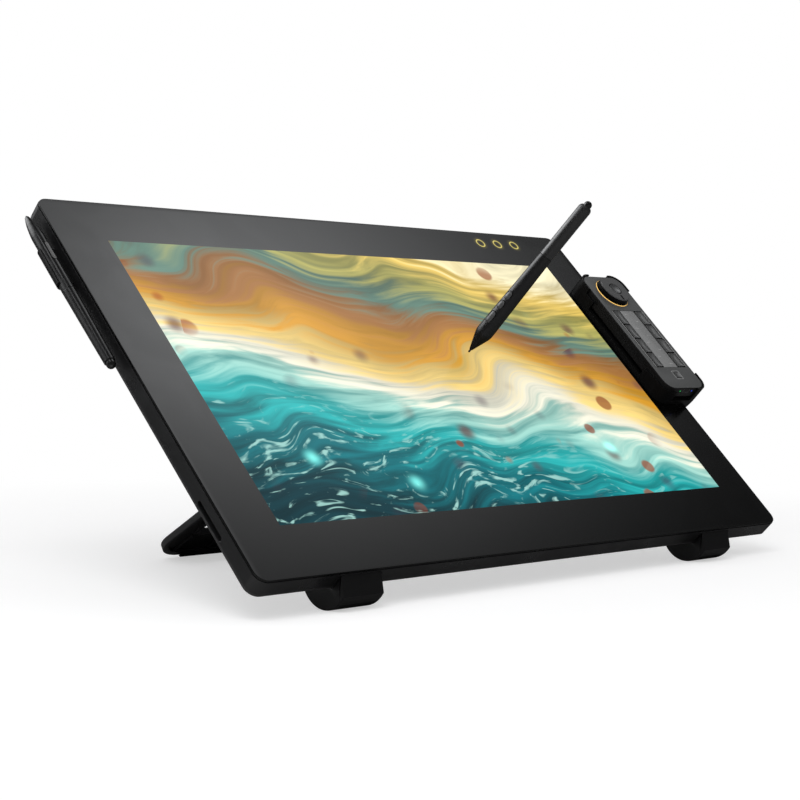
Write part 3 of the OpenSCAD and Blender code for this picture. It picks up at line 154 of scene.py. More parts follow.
def skin(loops: np.ndarray, foot: bool = True, head: bool = True) -> Surface:
    """Walls between stacked loops: points j and j + 1 of loop i join the same two of loop i + 1.

    Args:
        loops: Array of loops, points along each, three coordinates.
        foot: Whether the first loop is filled.
        head: Whether the last loop is filled.

    Returns:
        The walls with the asked ends.
    """
    count, around = loops.shape[:2]
    index = np.arange(count * around).reshape(count, around)
    low, high = index[:-1], index[1:]
    quads = np.stack([low, np.roll(low, -1, 1), np.roll(high, -1, 1), high], axis=-1)
    faces = quads.reshape(-1, 4).tolist()
    faces += [index[0, ::-1].tolist()] * foot + [index[-1].tolist()] * head
    return Surface(loops.reshape(-1, 3), faces)


def rays(angle: np.ndarray) -> np.ndarray:
    """Unit vectors in the plane at angles in radians."""
    return np.stack([np.cos(angle), np.sin(angle)], axis=-1)


def circle(steps: int) -> np.ndarray:
    """Unit vectors evenly round a circle."""
    return rays(np.linspace(0.0, 2 * math.pi, steps, endpoint=False))


def lifted(flat: np.ndarray, heights: np.ndarray) -> np.ndarray:
    """Loops of the plane, each carried to its height."""
    return np.concatenate([flat, np.broadcast_to(heights[:, None, None], flat.shape[:2] + (1,))], axis=-1)


def rounded_outline(width: float, height: float, radius: float, steps: int = 9) -> Outline:
    """Rectangle with round corners: each corner is its arc's centre plus radius times the unit normal.

    Args:
        width: Size along the first axis.
        height: Size along the second axis.
        radius: Corner radius.
        steps: Points of each arc.

    Returns:
        Points and outward unit normals, counter-clockwise.
    """
    angle = np.radians(np.arange(4)[:, None] * 90.0 + np.linspace(0.0, 90.0, steps)[None, :])
    normal = rays(angle)
    signs = np.array([[1, 1], [-1, 1], [-1, -1], [1, -1]], float)[:, None, :]
    centre = signs * np.array([width / 2 - radius, height / 2 - radius])
    return (centre + radius * normal).reshape(-1, 2), normal.reshape(-1, 2)


def eased_polygon(corners: Sequence[Sequence[float]], radii: Sequence[float], steps: int = 9) -> Outline:
    """Polygon whose corners are arcs that touch both sides.

    The arc's centre lies on the bisector at radius over the sine of half the corner's angle, and the
    arc runs from one touching point to the other.

    Args:
        corners: Corner points, counter-clockwise.
        radii: Radius at each corner.
        steps: Points of each arc.

    Returns:
        Points and outward unit normals.
    """
    corner = np.asarray(corners, float)
    radius = np.asarray(radii, float)[:, None]
    back = np.roll(corner, 1, 0) - corner
    ahead = np.roll(corner, -1, 0) - corner
    back /= np.linalg.norm(back, axis=1, keepdims=True)
    ahead /= np.linalg.norm(ahead, axis=1, keepdims=True)
    half = np.arccos(np.clip((back * ahead).sum(1, keepdims=True), -1, 1)) / 2
    bisector = back + ahead
    bisector /= np.linalg.norm(bisector, axis=1, keepdims=True)
    centre = corner + bisector * radius / np.sin(half)
    reach = radius / np.tan(half)
    start, end = corner + back * reach - centre, corner + ahead * reach - centre
    first = np.arctan2(start[:, 1], start[:, 0])
    sweep = np.angle(np.exp(1j * (np.arctan2(end[:, 1], end[:, 0]) - first)))
    angle = first[:, None] + sweep[:, None] * np.linspace(0.0, 1.0, steps)[None, :]
    ray = rays(angle)
    points = centre[:, None, :] + radius[:, :, None] * ray
    outward = np.where(sweep[:, None, None] > 0, ray, -ray)
    return points.reshape(-1, 2), outward.reshape(-1, 2)


def path_normals(points: np.ndarray) -> np.ndarray:
    """Outward normals of a counter-clockwise path: the chord between neighbours, turned a quarter back.

    Args:
        points: Closed path in the plane.

    Returns:
        Unit normals, one a point.
    """
    chord = np.roll(points, -1, 0) - np.roll(points, 1, 0)
    normal = np.stack([chord[:, 1], -chord[:, 0]], axis=-1)
    return normal / np.linalg.norm(normal, axis=1, keepdims=True)


def braced(rows: np.ndarray, near: float = 0.2) -> np.ndarray:
    """Profile with a row close to both ends of each long stretch, so that a round's shading stays on it.

    Args:
        rows: Rows of the profile.
        near: Distance of the new rows from the ends.

    Returns:
        The rows in order.
    """
    step = np.diff(rows, axis=0)
    length = np.linalg.norm(step, axis=1, keepdims=True)
    part = step * near / np.maximum(length, near)
    trio = np.stack([rows[:-1], rows[:-1] + part, rows[1:] - part], axis=1)
    keep = np.broadcast_to(length > 6 * near, (len(step), 3)) | np.array([True, False, False])
    return np.concatenate([trio[keep], rows[-1:]])


def soft_levels(low: float, high: float, foot: float, head: float, steps: int = 6) -> np.ndarray:
    """Inset and height up a wall whose foot and head are quarter rounds.

    Args:
        low: Lowest level.
        high: Highest level.
        foot: Radius at the foot.
        head: Radius at the head.
        steps: Points of each round.

    Returns:
        Rows of inset and height, from the foot up.
    """
    angle = np.linspace(0.0, math.pi / 2, steps)
    below = np.stack([foot * (1 - np.sin(angle)), low + foot * (1 - np.cos(angle))], axis=-1)
    above = np.stack([head * (1 - np.cos(angle)), high - head * (1 - np.sin(angle))], axis=-1)
    return braced(np.concatenate([below, above]))


def swept(outline: np.ndarray, normals: np.ndarray, levels: np.ndarray) -> np.ndarray:
    """Loops of an outline carried up its levels, each point drawn in along its normal by the inset.

    Args:
        outline: Points in the plane.
        normals: Outward normals of these points.
        levels: Rows of inset and height.

    Returns:
        Array of loops.
    """
    return lifted(outline[None] - levels[:, 0, None, None] * normals[None], levels[:, 1])


def soft_slab(outline: Outline, low: float, high: float, foot: float, head: float) -> Surface:
    """Slab of an outline between two levels with rounded edges."""
    return skin(swept(outline[0], outline[1], soft_levels(low, high, foot, head)))


def carried(path: np.ndarray, low: float, high: float, edge: float, way: np.ndarray) -> Surface:
    """Closed path carried along an axis between two levels, with rounded ends."""
    return skin(swept(path, path_normals(path), soft_levels(low, high, edge, edge))).turned(way)


def lathe(profile: Sequence[Sequence[float]], steps: int = 64, closed: bool = True) -> Surface:
    """Profile turned about z: radius times cosine and sine, at the profile's height.

    Args:
        profile: Rows of radius and height, from the foot up.
        steps: Points around.
        closed: Whether both ends are filled.

    Returns:
        The turned surface.
    """
    rows = braced(np.asarray(profile, float))
    return skin(lifted(rows[:, 0, None, None] * circle(steps)[None], rows[:, 1]), closed, closed)


def pierced_face(outer: np.ndarray, holes: Sequence[np.ndarray]) -> Surface:
    """Flat face inside one loop and outside others, cut into triangles.

    Args:
        outer: Loop around the face.
        holes: Loops of the openings.

    Returns:
        The face.
    """
    loops = [outer, *holes]
    triangles = tessellate_polygon([[Vector(point) for point in loop] for loop in loops])
    return Surface(np.concatenate(loops), [list(triangle) for triangle in triangles])


def at_level(outline: np.ndarray, level: float) -> np.ndarray:
    """An outline lifted to a level."""
    return np.concatenate([outline, np.full((len(outline), 1), level)], axis=1)


def band(outline: np.ndarray, low: float, high: float, foot: bool = False, head: bool = False) -> Surface:
    """Upright walls of an outline between two levels, with the asked ends."""
    return skin(np.stack([at_level(outline, low), at_level(outline, high)]), foot, head)


def domed_pad(
    radius: float, at: float, length: float, width: float, proud: float, deep: float, dish: float = 0.0
) -> Surface:
    """Long round-ended button on a barrel, wrapped round it by angle = across over radius.

    Its outline is a stadium. Rings shrink towards its middle line while the height rises by one minus
    the cube of the ring, less a dish along its length.

    Args:
        radius: Radius of the barrel.
        at: Middle of the button along the barrel.
        length: Length of the button.
        width: Width of the button.
        proud: Height of its crown above the barrel.
        deep: Depth of its skirt under the barrel's surface.
        dish: Depth of the hollow in its middle.

    Returns:
        The button around the x side of the z axis.
    """
    angle = np.linspace(0.0, 2 * math.pi, 48, endpoint=False)
    ends = np.where(np.cos(angle) >= 0, 1.0, -1.0) * (length - width) / 2
    ring = np.concatenate([[1.0, 1.0, 0.96], np.linspace(0.9, 0.05, 8)])[:, None]
    lift = proud * (1 - ring**3)
    lift[0], lift[1] = -deep, 0.0
    along = ends[None] * (0.25 + 0.75 * ring) + np.cos(angle)[None] * ring * width / 2
    across = np.sin(angle)[None] * ring * width / 2
    hollow = dish * np.clip(1 - (2 * along / length) ** 2, 0, 1) * (lift > 0)
    out = radius + lift - hollow
    return skin(np.concatenate([out[..., None] * rays(across / radius), (at + along)[..., None]], axis=-1))


def dished_slab(outline: Outline, low: float, high: float, edge: float, dish: float) -> Surface:
    """Key cap whose top is hollowed across its width: depth times one minus the square of the share out.

    Args:
        outline: Points and normals of the cap seen from above.
        low: Underside.
        high: Top at the rim.
        edge: Radius of the rim.
        dish: Depth of the hollow, negative for a crown.

    Returns:
        The cap.
    """
    walls = swept(outline[0], outline[1], soft_levels(low, high, 0.05, edge))
    rim = walls[-1]
    share = np.linspace(0.97, 0.03, 14)[:, None, None]
    top = np.concatenate([rim[None, :, :2] * share, np.full((14, len(rim), 1), high)], axis=-1)
    reach = np.abs(rim[:, 0]).max()
    top[:, :, 2] -= dish * (1 - (top[:, :, 0] / reach) ** 2)
    top[:, :, 2] += dish * (share[:, :, 0] ** 6) * (1 - (rim[None, :, 0] / reach) ** 2)
    return skin(np.concatenate([walls, top]))


class Graph:
    """Short calls for building a node tree."""

    def __init__(self, tree: bpy.types.NodeTree) -> None:
        """Keeps the tree that the calls add to."""
        self.tree = tree

    def put(self, node: bpy.types.Node, inputs: dict) -> None:
        """Links or sets inputs of a node.

        Args:
            node: The node.
            inputs: Sockets or plain values by input name or number.
        """
        for key, value in inputs.items():
            if isinstance(value, Socket):
                self.tree.links.new(value, node.inputs[key])
            else:
                node.inputs[key].default_value = value

    def add(self, kind: str, inputs: dict | None = None, **settings: object) -> bpy.types.Node:
        """Adds a node.

        Args:
            kind: Blender's node type.
            inputs: Sockets or plain values by input name or number.
            settings: The node's own properties.

        Returns:
            The node.
        """
        node = self.tree.nodes.new(kind)
        for name, value in settings.items():
            setattr(node, name, value)
        self.put(node, inputs or {})
        return node

    def place(self) -> Socket:
        """Coordinates of the object."""
        return self.add("ShaderNodeTexCoord").outputs["Object"]

    def math(self, operation: str, *values: object) -> Socket:
        """Result of a Math node."""
        return self.add("ShaderNodeMath", dict(enumerate(values)), operation=operation).outputs[0]

    def vector(self, operation: str, inputs: dict, result: str = "Vector") -> Socket:
        """Result of a Vector Math node."""
        return self.add("ShaderNodeVectorMath", inputs, operation=operation).outputs[result]

    def mapped(self, where: Socket, degrees: float, scale: Color) -> Socket:
        """Coordinates turned in the plane and stretched."""
        inputs = {"Vector": where, "Rotation": (0.0, 0.0, math.radians(degrees)), "Scale": scale}
        return self.add("ShaderNodeMapping", inputs).outputs[0]

    def mix(self, share: object, low: object, high: object, blend: str = "MIX") -> Socket:
        """Colour between two others."""
        inputs = {0: share, 6: low, 7: high}
        return self.add("ShaderNodeMix", inputs, data_type="RGBA", blend_type=blend).outputs[2]

    def span(self, value: object, low: float, high: float, bottom: float = 0.0, top: float = 1.0) -> Socket:
        """Smooth step of a value from one range to another."""
        inputs = {0: value, 1: low, 2: high, 3: bottom, 4: top}
        return self.add("ShaderNodeMapRange", inputs, interpolation_type="SMOOTHSTEP").outputs[0]

    def ramp(self, share: object, stops: Sequence[tuple[float, Color]], way: str = "EASE") -> Socket:
        """Colour along a list of stops.

        Args:
            share: Place along the list.
            stops: Places and colours, the places in rising order.
            way: How colours run from one stop to the next.

        Returns:
            The colour.
        """
        node = self.add("ShaderNodeValToRGB", {0: share})
        node.color_ramp.interpolation = way
        for _ in stops[2:]:
            node.color_ramp.elements.new(0.5)
        for element, (place, _) in zip(node.color_ramp.elements, stops):
            element.position = place
        for element, (_, color) in zip(node.color_ramp.elements, stops):
            element.color = (*color, 1.0)
        return node.outputs[0]

    def bump(self, height: Socket, depth: float, strength: float) -> bpy.types.Node:
        """Bump node with its depth in millimetres."""
        return self.add("ShaderNodeBump", {"Height": height, "Distance": depth * MM, "Strength": strength})

    def noise(self, where: object, scale: object, detail: float = 2.0, warp: float = 0.0) -> Socket:
        """Soft noise from 0 to 1."""
        inputs = {"Vector": where, "Scale": scale, "Detail": detail, "Distortion": warp}
        return self.add("ShaderNodeTexNoise", inputs).outputs[0]

    def grain(self, where: Socket, size: float) -> bpy.types.bpy_prop_collection:
        """Outputs of the moulded grain with its size in millimetres."""
        inputs = {"Vector": where, "Size": size}
        return self.add("ShaderNodeGroup", inputs, node_tree=moulded_grain()).outputs


def rgba(color: Color, gain: float = 1.0) -> tuple[float, float, float, float]:
    """A colour with its alpha, brightened by a gain."""
    return (color[0] * gain, color[1] * gain, color[2] * gain, 1.0)


def grey(level: float, blue: float | None = None) -> Color:
    """A grey, or one with a little more or less blue in it."""
    return (level, level, level if blue is None else blue)


@lru_cache
def moulded_grain() -> bpy.types.NodeTree:
    """Group of a moulded surface: fine height, broad tone and wiped patches.

    Returns:
        Group with inputs Vector and Size in millimetres, and outputs Height, Tone and Wipe.
    """
    tree = bpy.data.node_groups.new("moulded_grain", "ShaderNodeTree")
    tree.interface.new_socket("Vector", in_out="INPUT", socket_type="NodeSocketVector")
    tree.interface.new_socket("Size", in_out="INPUT", socket_type="NodeSocketFloat")
    for name in ("Height", "Tone", "Wipe"):
        tree.interface.new_socket(name, in_out="OUTPUT", socket_type="NodeSocketFloat")
    graph = Graph(tree)
    given = tree.nodes.new("NodeGroupInput").outputs
    where, scale = given["Vector"], graph.math("DIVIDE", 1000.0, given["Size"])
    graph.put(tree.nodes.new("NodeGroupOutput"), {
        "Height": graph.noise(where, scale, 1.0),
        "Tone": graph.noise(where, 9.0, 4.0),
        "Wipe": graph.span(graph.noise(where, 16.0, 5.0, 1.2), 0.3, 0.7),
    })
    return tree


def new_material(name: str) -> tuple[bpy.types.Material, Graph, bpy.types.Node]:
    """A material with one Principled shader.

    Args:
        name: Name of the material.

    Returns:
        The material, its graph and its shader node.
    """
    material = bpy.data.materials.new(name)
    material.use_nodes = True
    return material, Graph(material.node_tree), material.node_tree.nodes["Principled BSDF"]


@dataclass(frozen=True)
class Moulded:
    """Finish of a moulded, cast or machined piece, with grain, tone and wiped patches.

    edge is the radius in millimetres that softens the corners of a carried-over solid.
    """

    name: str
    color: Color
    roughness: float
    specular: float = 0.35
    grain: float = 0.6
    depth: float = 0.012
    tone: float = 0.15
    wipe: float = 0.06
    metallic: float = 0.0
    edge: float = 0.0

    @lru_cache
    def build(self) -> bpy.types.Material:
        """The material, made once.

        Returns:
            A material on Object coordinates.
        """
        material, graph, shader = new_material(self.name)
        grain = graph.grain(graph.place(), self.grain)
        bump = graph.bump(grain["Height"], self.depth, 0.6)
        if self.edge:
            soft = graph.add("ShaderNodeBevel", {"Radius": self.edge * MM}, samples=6)
            graph.put(bump, {"Normal": soft.outputs[0]})
        dark, pale = rgba(self.color, 1 - self.tone), rgba(self.color, 1 + self.tone)
        low, high = self.roughness - self.wipe, self.roughness + self.wipe
        graph.put(shader, {
            "Base Color": graph.mix(grain["Tone"], dark, pale),
            "Roughness": graph.span(grain["Wipe"], 0.0, 1.0, low, high),
            "Metallic": self.metallic,
            "Specular IOR Level": self.specular,
            "Normal": bump.outputs[0],
        })
        return material


@dataclass(frozen=True)
class Lit:
    """Finish of a lit piece: a coloured lens that glows unevenly."""

    name: str
    color: Color
    glow: float
    roughness: float = 0.35

    @lru_cache
    def build(self) -> bpy.types.Material:
        """The material, made once.

        Returns:
            A material on Object coordinates.
        """
        material, graph, shader = new_material(self.name)
        spread = graph.span(graph.noise(graph.place(), 300.0), 0.2, 0.8, 0.75, 1.0)
        color = graph.mix(spread, rgba(self.color, 0.5), rgba(self.color))
        graph.put(shader, {
            "Base Color": color,
            "Emission Color": color,
            "Emission Strength": self.glow,
            "Roughness": self.roughness,
        })
        return material


class Paint:
    """Finishes of this object."""

    FRAME = Moulded(
        "frame_black", grey(0.0085, 0.0089), 0.32, specular=0.26, depth=0.003, tone=0.06, edge=0.5
    )
    BACK = Moulded("back_black", grey(0.020, 0.0205), 0.5, grain=0.9, depth=0.03)
    POD = Moulded("pod_black", grey(0.022, 0.0225), 0.5, grain=0.9, depth=0.03, edge=1.2)
    STAND = Moulded("stand_black", grey(0.014, 0.0145), 0.42, grain=0.7)
    FEET = Moulded("foot_black", grey(0.0062, 0.0065), 0.42, specular=0.25, depth=0.004, tone=0.08)
    RUBBER = Moulded("rubber", grey(0.008), 0.8, specular=0.15, grain=0.4, depth=0.03)
    CRADLE = Moulded(
        "cradle_black", grey(0.0048, 0.005), 0.42, specular=0.15, depth=0.004, tone=0.08, edge=0.8
    )
    CLIP = Moulded("clip_black", grey(0.0055, 0.0057), 0.45, specular=0.15, depth=0.004, tone=0.08)
    STEEL = Moulded("screw_steel", grey(0.10, 0.105), 0.35, metallic=1.0, grain=0.3, edge=0.3)
    PLATE = Moulded("sheet_steel", grey(0.45, 0.46), 0.3, metallic=1.0, grain=0.5)
    BRASS = Moulded("brass", (0.55, 0.38, 0.14), 0.3, metallic=1.0, grain=0.3, edge=0.2)
    CIRCUIT = Moulded("circuit_green", (0.02, 0.09, 0.04), 0.45, grain=1.2)
    FOAM = Moulded("gasket_foam", grey(0.006), 0.9, specular=0.1, grain=0.3, depth=0.05)
    # Near-black: own colour of the remote's display and switch, and painted shade in the pockets, the beds
    # under the rib strips, the dial's notch and the gaps round the pen buttons.
    BLACK_AND_SHADE = Moulded("deep_black", grey(0.003), 0.6, specular=0.12, grain=0.5)
    PANEL = Moulded("panel_layer", (0.05, 0.12, 0.12), 0.25, grain=0.3)
    DIFFUSER = Moulded("diffuser_film", (0.75, 0.76, 0.78), 0.5, grain=0.4)
    CELL = Moulded("cell_foil", (0.55, 0.56, 0.58), 0.35, grain=0.8)
    FACE = Moulded("remote_face", (0.075, 0.077, 0.077), 0.42, grain=0.35, depth=0.01)
    SHELL = Moulded("remote_shell", grey(0.0085, 0.0088), 0.4, specular=0.22, depth=0.004, tone=0.08)
    KEY = Moulded("key_grey", (0.060, 0.061, 0.061), 0.27, specular=1.0, grain=0.3, depth=0.006)
    # Light grey of the rib strips and of the square key's frame: a painted highlight along their thin raised
    # rims.
    TRIM_HIGHLIGHT = Moulded("square_trim_highlight", (0.30, 0.302, 0.302), 0.3, grain=0.3, depth=0.006)
    LENS = Moulded("window_lens", (0.20, 0.202, 0.202), 0.25, grain=0.25, depth=0.004, tone=0.06)
    MARK = Moulded("window_mark", grey(0.42), 0.4, grain=0.3)
    DIAL = Moulded("dial_grey", grey(0.062, 0.063), 0.36, grain=0.3, depth=0.008)
    DIAL_SIDE = Moulded("dial_side", grey(0.004), 0.4, specular=0.2)
    HOLLOW = Moulded("dial_hollow", (0.045, 0.046, 0.047), 0.33, specular=1.0, grain=0.3, depth=0.006)
    PEN = Moulded("pen_black", grey(0.0085, 0.0088), 0.40, specular=0.6, grain=0.5, depth=0.0015, tone=0.05)
    SLIM = Moulded("slim_black", grey(0.006, 0.0062), 0.26, specular=0.5, grain=0.5, depth=0.001, tone=0.05)
    REAR = Moulded("rear_black", grey(0.0125, 0.013), 0.42, specular=1.0, grain=0.5, depth=0.0015, tone=0.05)
    PEN_BUTTON = Moulded("button_grey", (0.062, 0.063, 0.064), 0.33, specular=0.7, grain=0.3)
    # Light grey of the slim pen's rocker: partly its own colour, partly a painted highlight along the bar.
    ROCKER_GREY_AND_HIGHLIGHT = Moulded("rocker_grey_and_highlight", grey(0.10), 0.32, grain=0.3)
    NIB = Moulded("nib", grey(0.02), 0.4, grain=0.2)
    # Near-black edge of the cover glass: painted shade standing for the gap between glass and frame.
    GLASS_EDGE_SHADE = Moulded("glass_edge_painted_shade", grey(0.0015, 0.0016), 0.3, specular=0.2, grain=0.3, depth=0.004)
    ERASER = Moulded("eraser", grey(0.007), 0.2, specular=0.6, grain=0.2, depth=0.004)
    RING = Lit("gold_light", (0.80, 0.49, 0.13), 1.0)
    GREEN = Lit("green_light", (0.03, 0.45, 0.10), 0.5)
    BLUE = Lit("blue_light", (0.02, 0.05, 0.55), 0.5)


@dataclass(frozen=True)
class ScreenGlass:
    """Satin cover glass: dark printed border, a lit abstract picture and three ringed touch keys.

    The picture is loose rolling bands of teal, cream, gold and rust with ripples, soft discs and glints.
    """

    name: str = "screen_glass"
    width: float = 527.0
    height: float = 296.5
    ring_x: float = 213.4
    ring_y: float = 178.5
    ring_pitch: float = 24.4
    ring_r: float = 4.9
    BANDS: ClassVar[tuple[tuple[float, Color], ...]] = (
        (0.00, (0.003, 0.045, 0.06)), (0.12, (0.004, 0.17, 0.20)), (0.24, (0.02, 0.44, 0.44)),
        (0.33, (0.36, 0.70, 0.62)), (0.39, (0.90, 0.88, 0.72)), (0.47, (0.90, 0.66, 0.22)),
        (0.55, (0.66, 0.32, 0.03)), (0.62, (0.38, 0.17, 0.05)), (0.69, (0.13, 0.24, 0.19)),
        (0.78, (0.42, 0.40, 0.12)), (0.89, (0.84, 0.60, 0.14)), (1.00, (0.96, 0.88, 0.58)),
    )
    DISCS: ClassVar[tuple[tuple[float, Color], ...]] = (
        (0.0, (0.30, 0.050, 0.006)), (0.4, (0.60, 0.17, 0.015)),
        (0.7, (0.060, 0.016, 0.070)), (1.0, (0.16, 0.03, 0.02)),
    )

    def picture(self, graph: Graph, where: Socket) -> Socket:
        """Colour of the picture: rolling bands, then ripples of glare, soft discs and a few glints on them.

        Args:
            graph: Graph of the material.
            where: Place on the board in millimetres.

        Returns:
            The colour, worked out from noise and cells alone.
        """
        near = graph.vector("SCALE", {0: where, 3: 0.01})
        broad = {"Vector": near, "Scale": 0.42, "Detail": 2.0}
        bend = graph.add("ShaderNodeTexNoise", broad).outputs["Color"]
        bend = graph.vector("SCALE", {0: graph.vector("SUBTRACT", {0: bend, 1: (0.5, 0.5, 0.5)}), 3: 2.4})
        bent = graph.vector("ADD", {0: near, 1: bend})
        streak = graph.noise(graph.mapped(bent, -20.0, (0.8, 9.0, 1.0)), 1.0, 5.0, 0.5)
        flat = graph.add("ShaderNodeSeparateXYZ", {0: bent}).outputs
        rise = graph.math("MULTIPLY_ADD", flat["X"], 0.075, graph.math("MULTIPLY_ADD", flat["Y"], 0.26, 0.44))
        rise = graph.math("MULTIPLY_ADD", graph.math("SUBTRACT", streak, 0.5), 0.22, rise)
        sheen = graph.span(streak, 0.25, 0.75, 0.62, 1.25)
        color = graph.mix(1.0, graph.ramp(rise, self.BANDS), sheen, "MULTIPLY")
        ripple = graph.noise(graph.mapped(bent, 12.0, (1.6, 5.5, 1.0)), 1.6, 3.0, 1.8)
        glare = graph.math("MULTIPLY", graph.span(ripple, 0.56, 0.70), graph.span(rise, 0.36, 0.10))
        color = graph.mix(graph.math("MULTIPLY", glare, 0.7), color, rgba((0.50, 0.90, 0.82)))
        return self.glints(graph, near, self.discs(graph, near, color))

    def discs(self, graph: Graph, near: Socket, color: Socket) -> Socket:
        """The picture under soft discs: each cell's disc has its own radius, colour and blur.

        Args:
            graph: Graph of the material.
            near: Place on the board in decimetres.
            color: The picture so far.

        Returns:
            The colour.
        """
        cells = graph.add("ShaderNodeTexVoronoi", {"Vector": near, "Scale": 3.0}).outputs
        chance = graph.add("ShaderNodeSeparateColor", {0: cells["Color"]}).outputs
        size = graph.math("MULTIPLY_ADD", chance[0], 0.24, 0.10)
        blur = graph.math("MULTIPLY_ADD", chance[2], 0.26, 0.06)
        off = graph.math("DIVIDE", graph.math("SUBTRACT", size, cells["Distance"]), blur)
        inside = graph.span(off, -0.5, 0.5)
        patch = graph.span(graph.noise(near, 0.7, 1.0), 0.46, 0.58)
        some = graph.math("MULTIPLY", graph.span(chance[1], 0.35, 0.42), patch)
        share = graph.math("MULTIPLY", graph.math("MULTIPLY", inside, some), 0.78)
        return graph.mix(share, color, graph.ramp(chance[2], self.DISCS))

    def glints(self, graph: Graph, near: Socket, color: Socket) -> Socket:
        """The picture with a few cool glints: the square of a soft spot in some cells, added on.

        Args:
            graph: Graph of the material.
            near: Place on the board in decimetres.
            color: The picture so far.

        Returns:
            The colour.
        """
        aside = graph.vector("ADD", {0: near, 1: (3.7, 1.9, 0.0)})
        cells = graph.add("ShaderNodeTexVoronoi", {"Vector": aside, "Scale": 1.1}).outputs
        some = graph.span(graph.add("ShaderNodeSeparateColor", {0: cells["Color"]}).outputs[0], 0.62, 0.68)
        spot = graph.math("POWER", graph.span(cells["Distance"], 0.16, 0.0), 2.0)
        return graph.mix(graph.math("MULTIPLY", spot, some), color, rgba((0.25, 0.95, 0.85)), "ADD")

    def rings(self, graph: Graph, where: Socket) -> Socket:
        """Strength of the touch rings: a narrow bell about each ring's radius, on a wide faint one.

        Args:
            graph: Graph of the material.
            where: Place on the board in millimetres.

        Returns:
            The strength.
        """
        flat = graph.add("ShaderNodeSeparateXYZ", {0: where}).outputs
        across = graph.math("DIVIDE", graph.math("SUBTRACT", flat["X"], self.ring_x), self.ring_pitch)
        nearest = graph.math("MAXIMUM", graph.math("MINIMUM", graph.math("ROUND", across), 1.0), -1.0)
        x = graph.math("MULTIPLY", graph.math("SUBTRACT", across, nearest), self.ring_pitch)
        y = graph.math("SUBTRACT", flat["Y"], self.ring_y)
        squares = graph.math("ADD", graph.math("MULTIPLY", x, x), graph.math("MULTIPLY", y, y))
        off = graph.math("ABSOLUTE", graph.math("SUBTRACT", graph.math("SQRT", squares), self.ring_r))
        core = graph.span(off, 0.95, 0.25)
        halo = graph.span(off, 4.5, 0.3, 0.0, 0.08)
        return graph.math("ADD", core, halo)

    @lru_cache
    def build(self) -> bpy.types.Material:
        """The material, made once.

        Returns:
            A material on Object coordinates, turned into the board's own frame.
        """
        material, graph, shader = new_material(self.name)
        world = graph.place()
        where = graph.add("ShaderNodeMapping", {
            "Vector": world,
            "Location": BOARD.unturned(),
            "Rotation": (-math.radians(TILT), 0.0, 0.0),
            "Scale": (1000.0, 1000.0, 1000.0),
        }).outputs[0]
        flat = graph.add("ShaderNodeSeparateXYZ", {0: where}).outputs
        out_x = graph.math("SUBTRACT", graph.math("ABSOLUTE", flat["X"]), self.width / 2)
        out_y = graph.math("SUBTRACT", graph.math("ABSOLUTE", flat["Y"]), self.height / 2)
        inside = graph.span(graph.math("MAXIMUM", out_x, out_y), 0.15, -0.15)
        lit = graph.mix(inside, BLACK, self.picture(graph, where))
        gold = graph.mix(self.rings(graph, where), BLACK, rgba((0.72, 0.60, 0.15)))
        seen = graph.add("ShaderNodeLightPath").outputs["Is Camera Ray"]
        grain = graph.grain(world, 0.25)
        bump = graph.bump(grain["Height"], 0.002, 0.3)
        graph.put(shader, {
            "Emission Color": graph.mix(1.0, lit, gold, "ADD"),
            "Emission Strength": graph.math("MULTIPLY_ADD", seen, 0.9, 0.1),
            "Base Color": graph.mix(grain["Tone"], rgba(grey(0.0004)), rgba(grey(0.0006))),
            "Roughness": graph.span(grain["Wipe"], 0.0, 1.0, 0.15, 0.19),
            "Specular IOR Level": graph.span(inside, 0.0, 1.0, 0.5, 0.12),
            "Normal": bump.outputs[0],
        })
        return material


Finish = Moulded | Lit | ScreenGlass


def linked(name: str, data: bpy.types.ID) -> bpy.types.Object:
    """A new object in the scene.

    Args:
        name: Name of the object.
        data: Its mesh, lamp or camera.

    Returns:
        The object.
    """
    thing = bpy.data.objects.new(name, data)
    bpy.context.scene.collection.objects.link(thing)
    return thing


def add_piece(
    name: str,
    place: Place,
    parts: Sequence[tuple[Surface, Finish]],
    body: str,
    nodes: Sequence[str] = (),
) -> None:
    """Makes one piece of the object from surfaces of one drawing.

    Args:
        name: Name of the piece.
        place: Where its drawing sits.
        parts: Surfaces with their finishes.
        body: Body that it rides on.
        nodes: Nodes that it stands for.
    """
    whole = joined([surface for surface, _ in parts])
    finishes = list(dict.fromkeys(finish for _, finish in parts))
    marks = np.concatenate([np.full(len(s.faces), finishes.index(f), np.int32) for s, f in parts])
    mesh = bpy.data.meshes.new(name)
    mesh.from_pydata(place.row(whole.points).tolist(), [], whole.faces)
    mesh.polygons.foreach_set("material_index", marks)
    for finish in finishes:
        mesh.materials.append(finish.build())
    work = bmesh.new()
    work.from_mesh(mesh)
    bmesh.ops.remove_doubles(work, verts=work.verts, dist=0.0005 * MM)
    bmesh.ops.recalc_face_normals(work, faces=work.faces)
    work.to_mesh(mesh)
    work.free()
    corners = np.empty(len(mesh.polygons), np.int32)
    mesh.polygons.foreach_get("loop_total", corners)
    mesh.polygons.foreach_set("use_smooth", corners == 4)
    mesh.set_sharp_from_angle(angle=CREASE)
    piece = linked(name, mesh)
    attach(piece, body)
    if nodes:
        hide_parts(*nodes)
    LOG.info("%s: %d faces on %s", name, len(mesh.polygons), body)


def dress(finish: Finish, *nodes: str) -> None:
    """Gives carried-over solids a finish.

    Args:
        finish: The finish.
        nodes: Names of the solids.
    """
    for node in nodes:
        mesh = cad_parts[node].data
        mesh.materials.clear()
        mesh.materials.append(finish.build())
        LOG.info("%s: dressed as %s", node, finish.name)


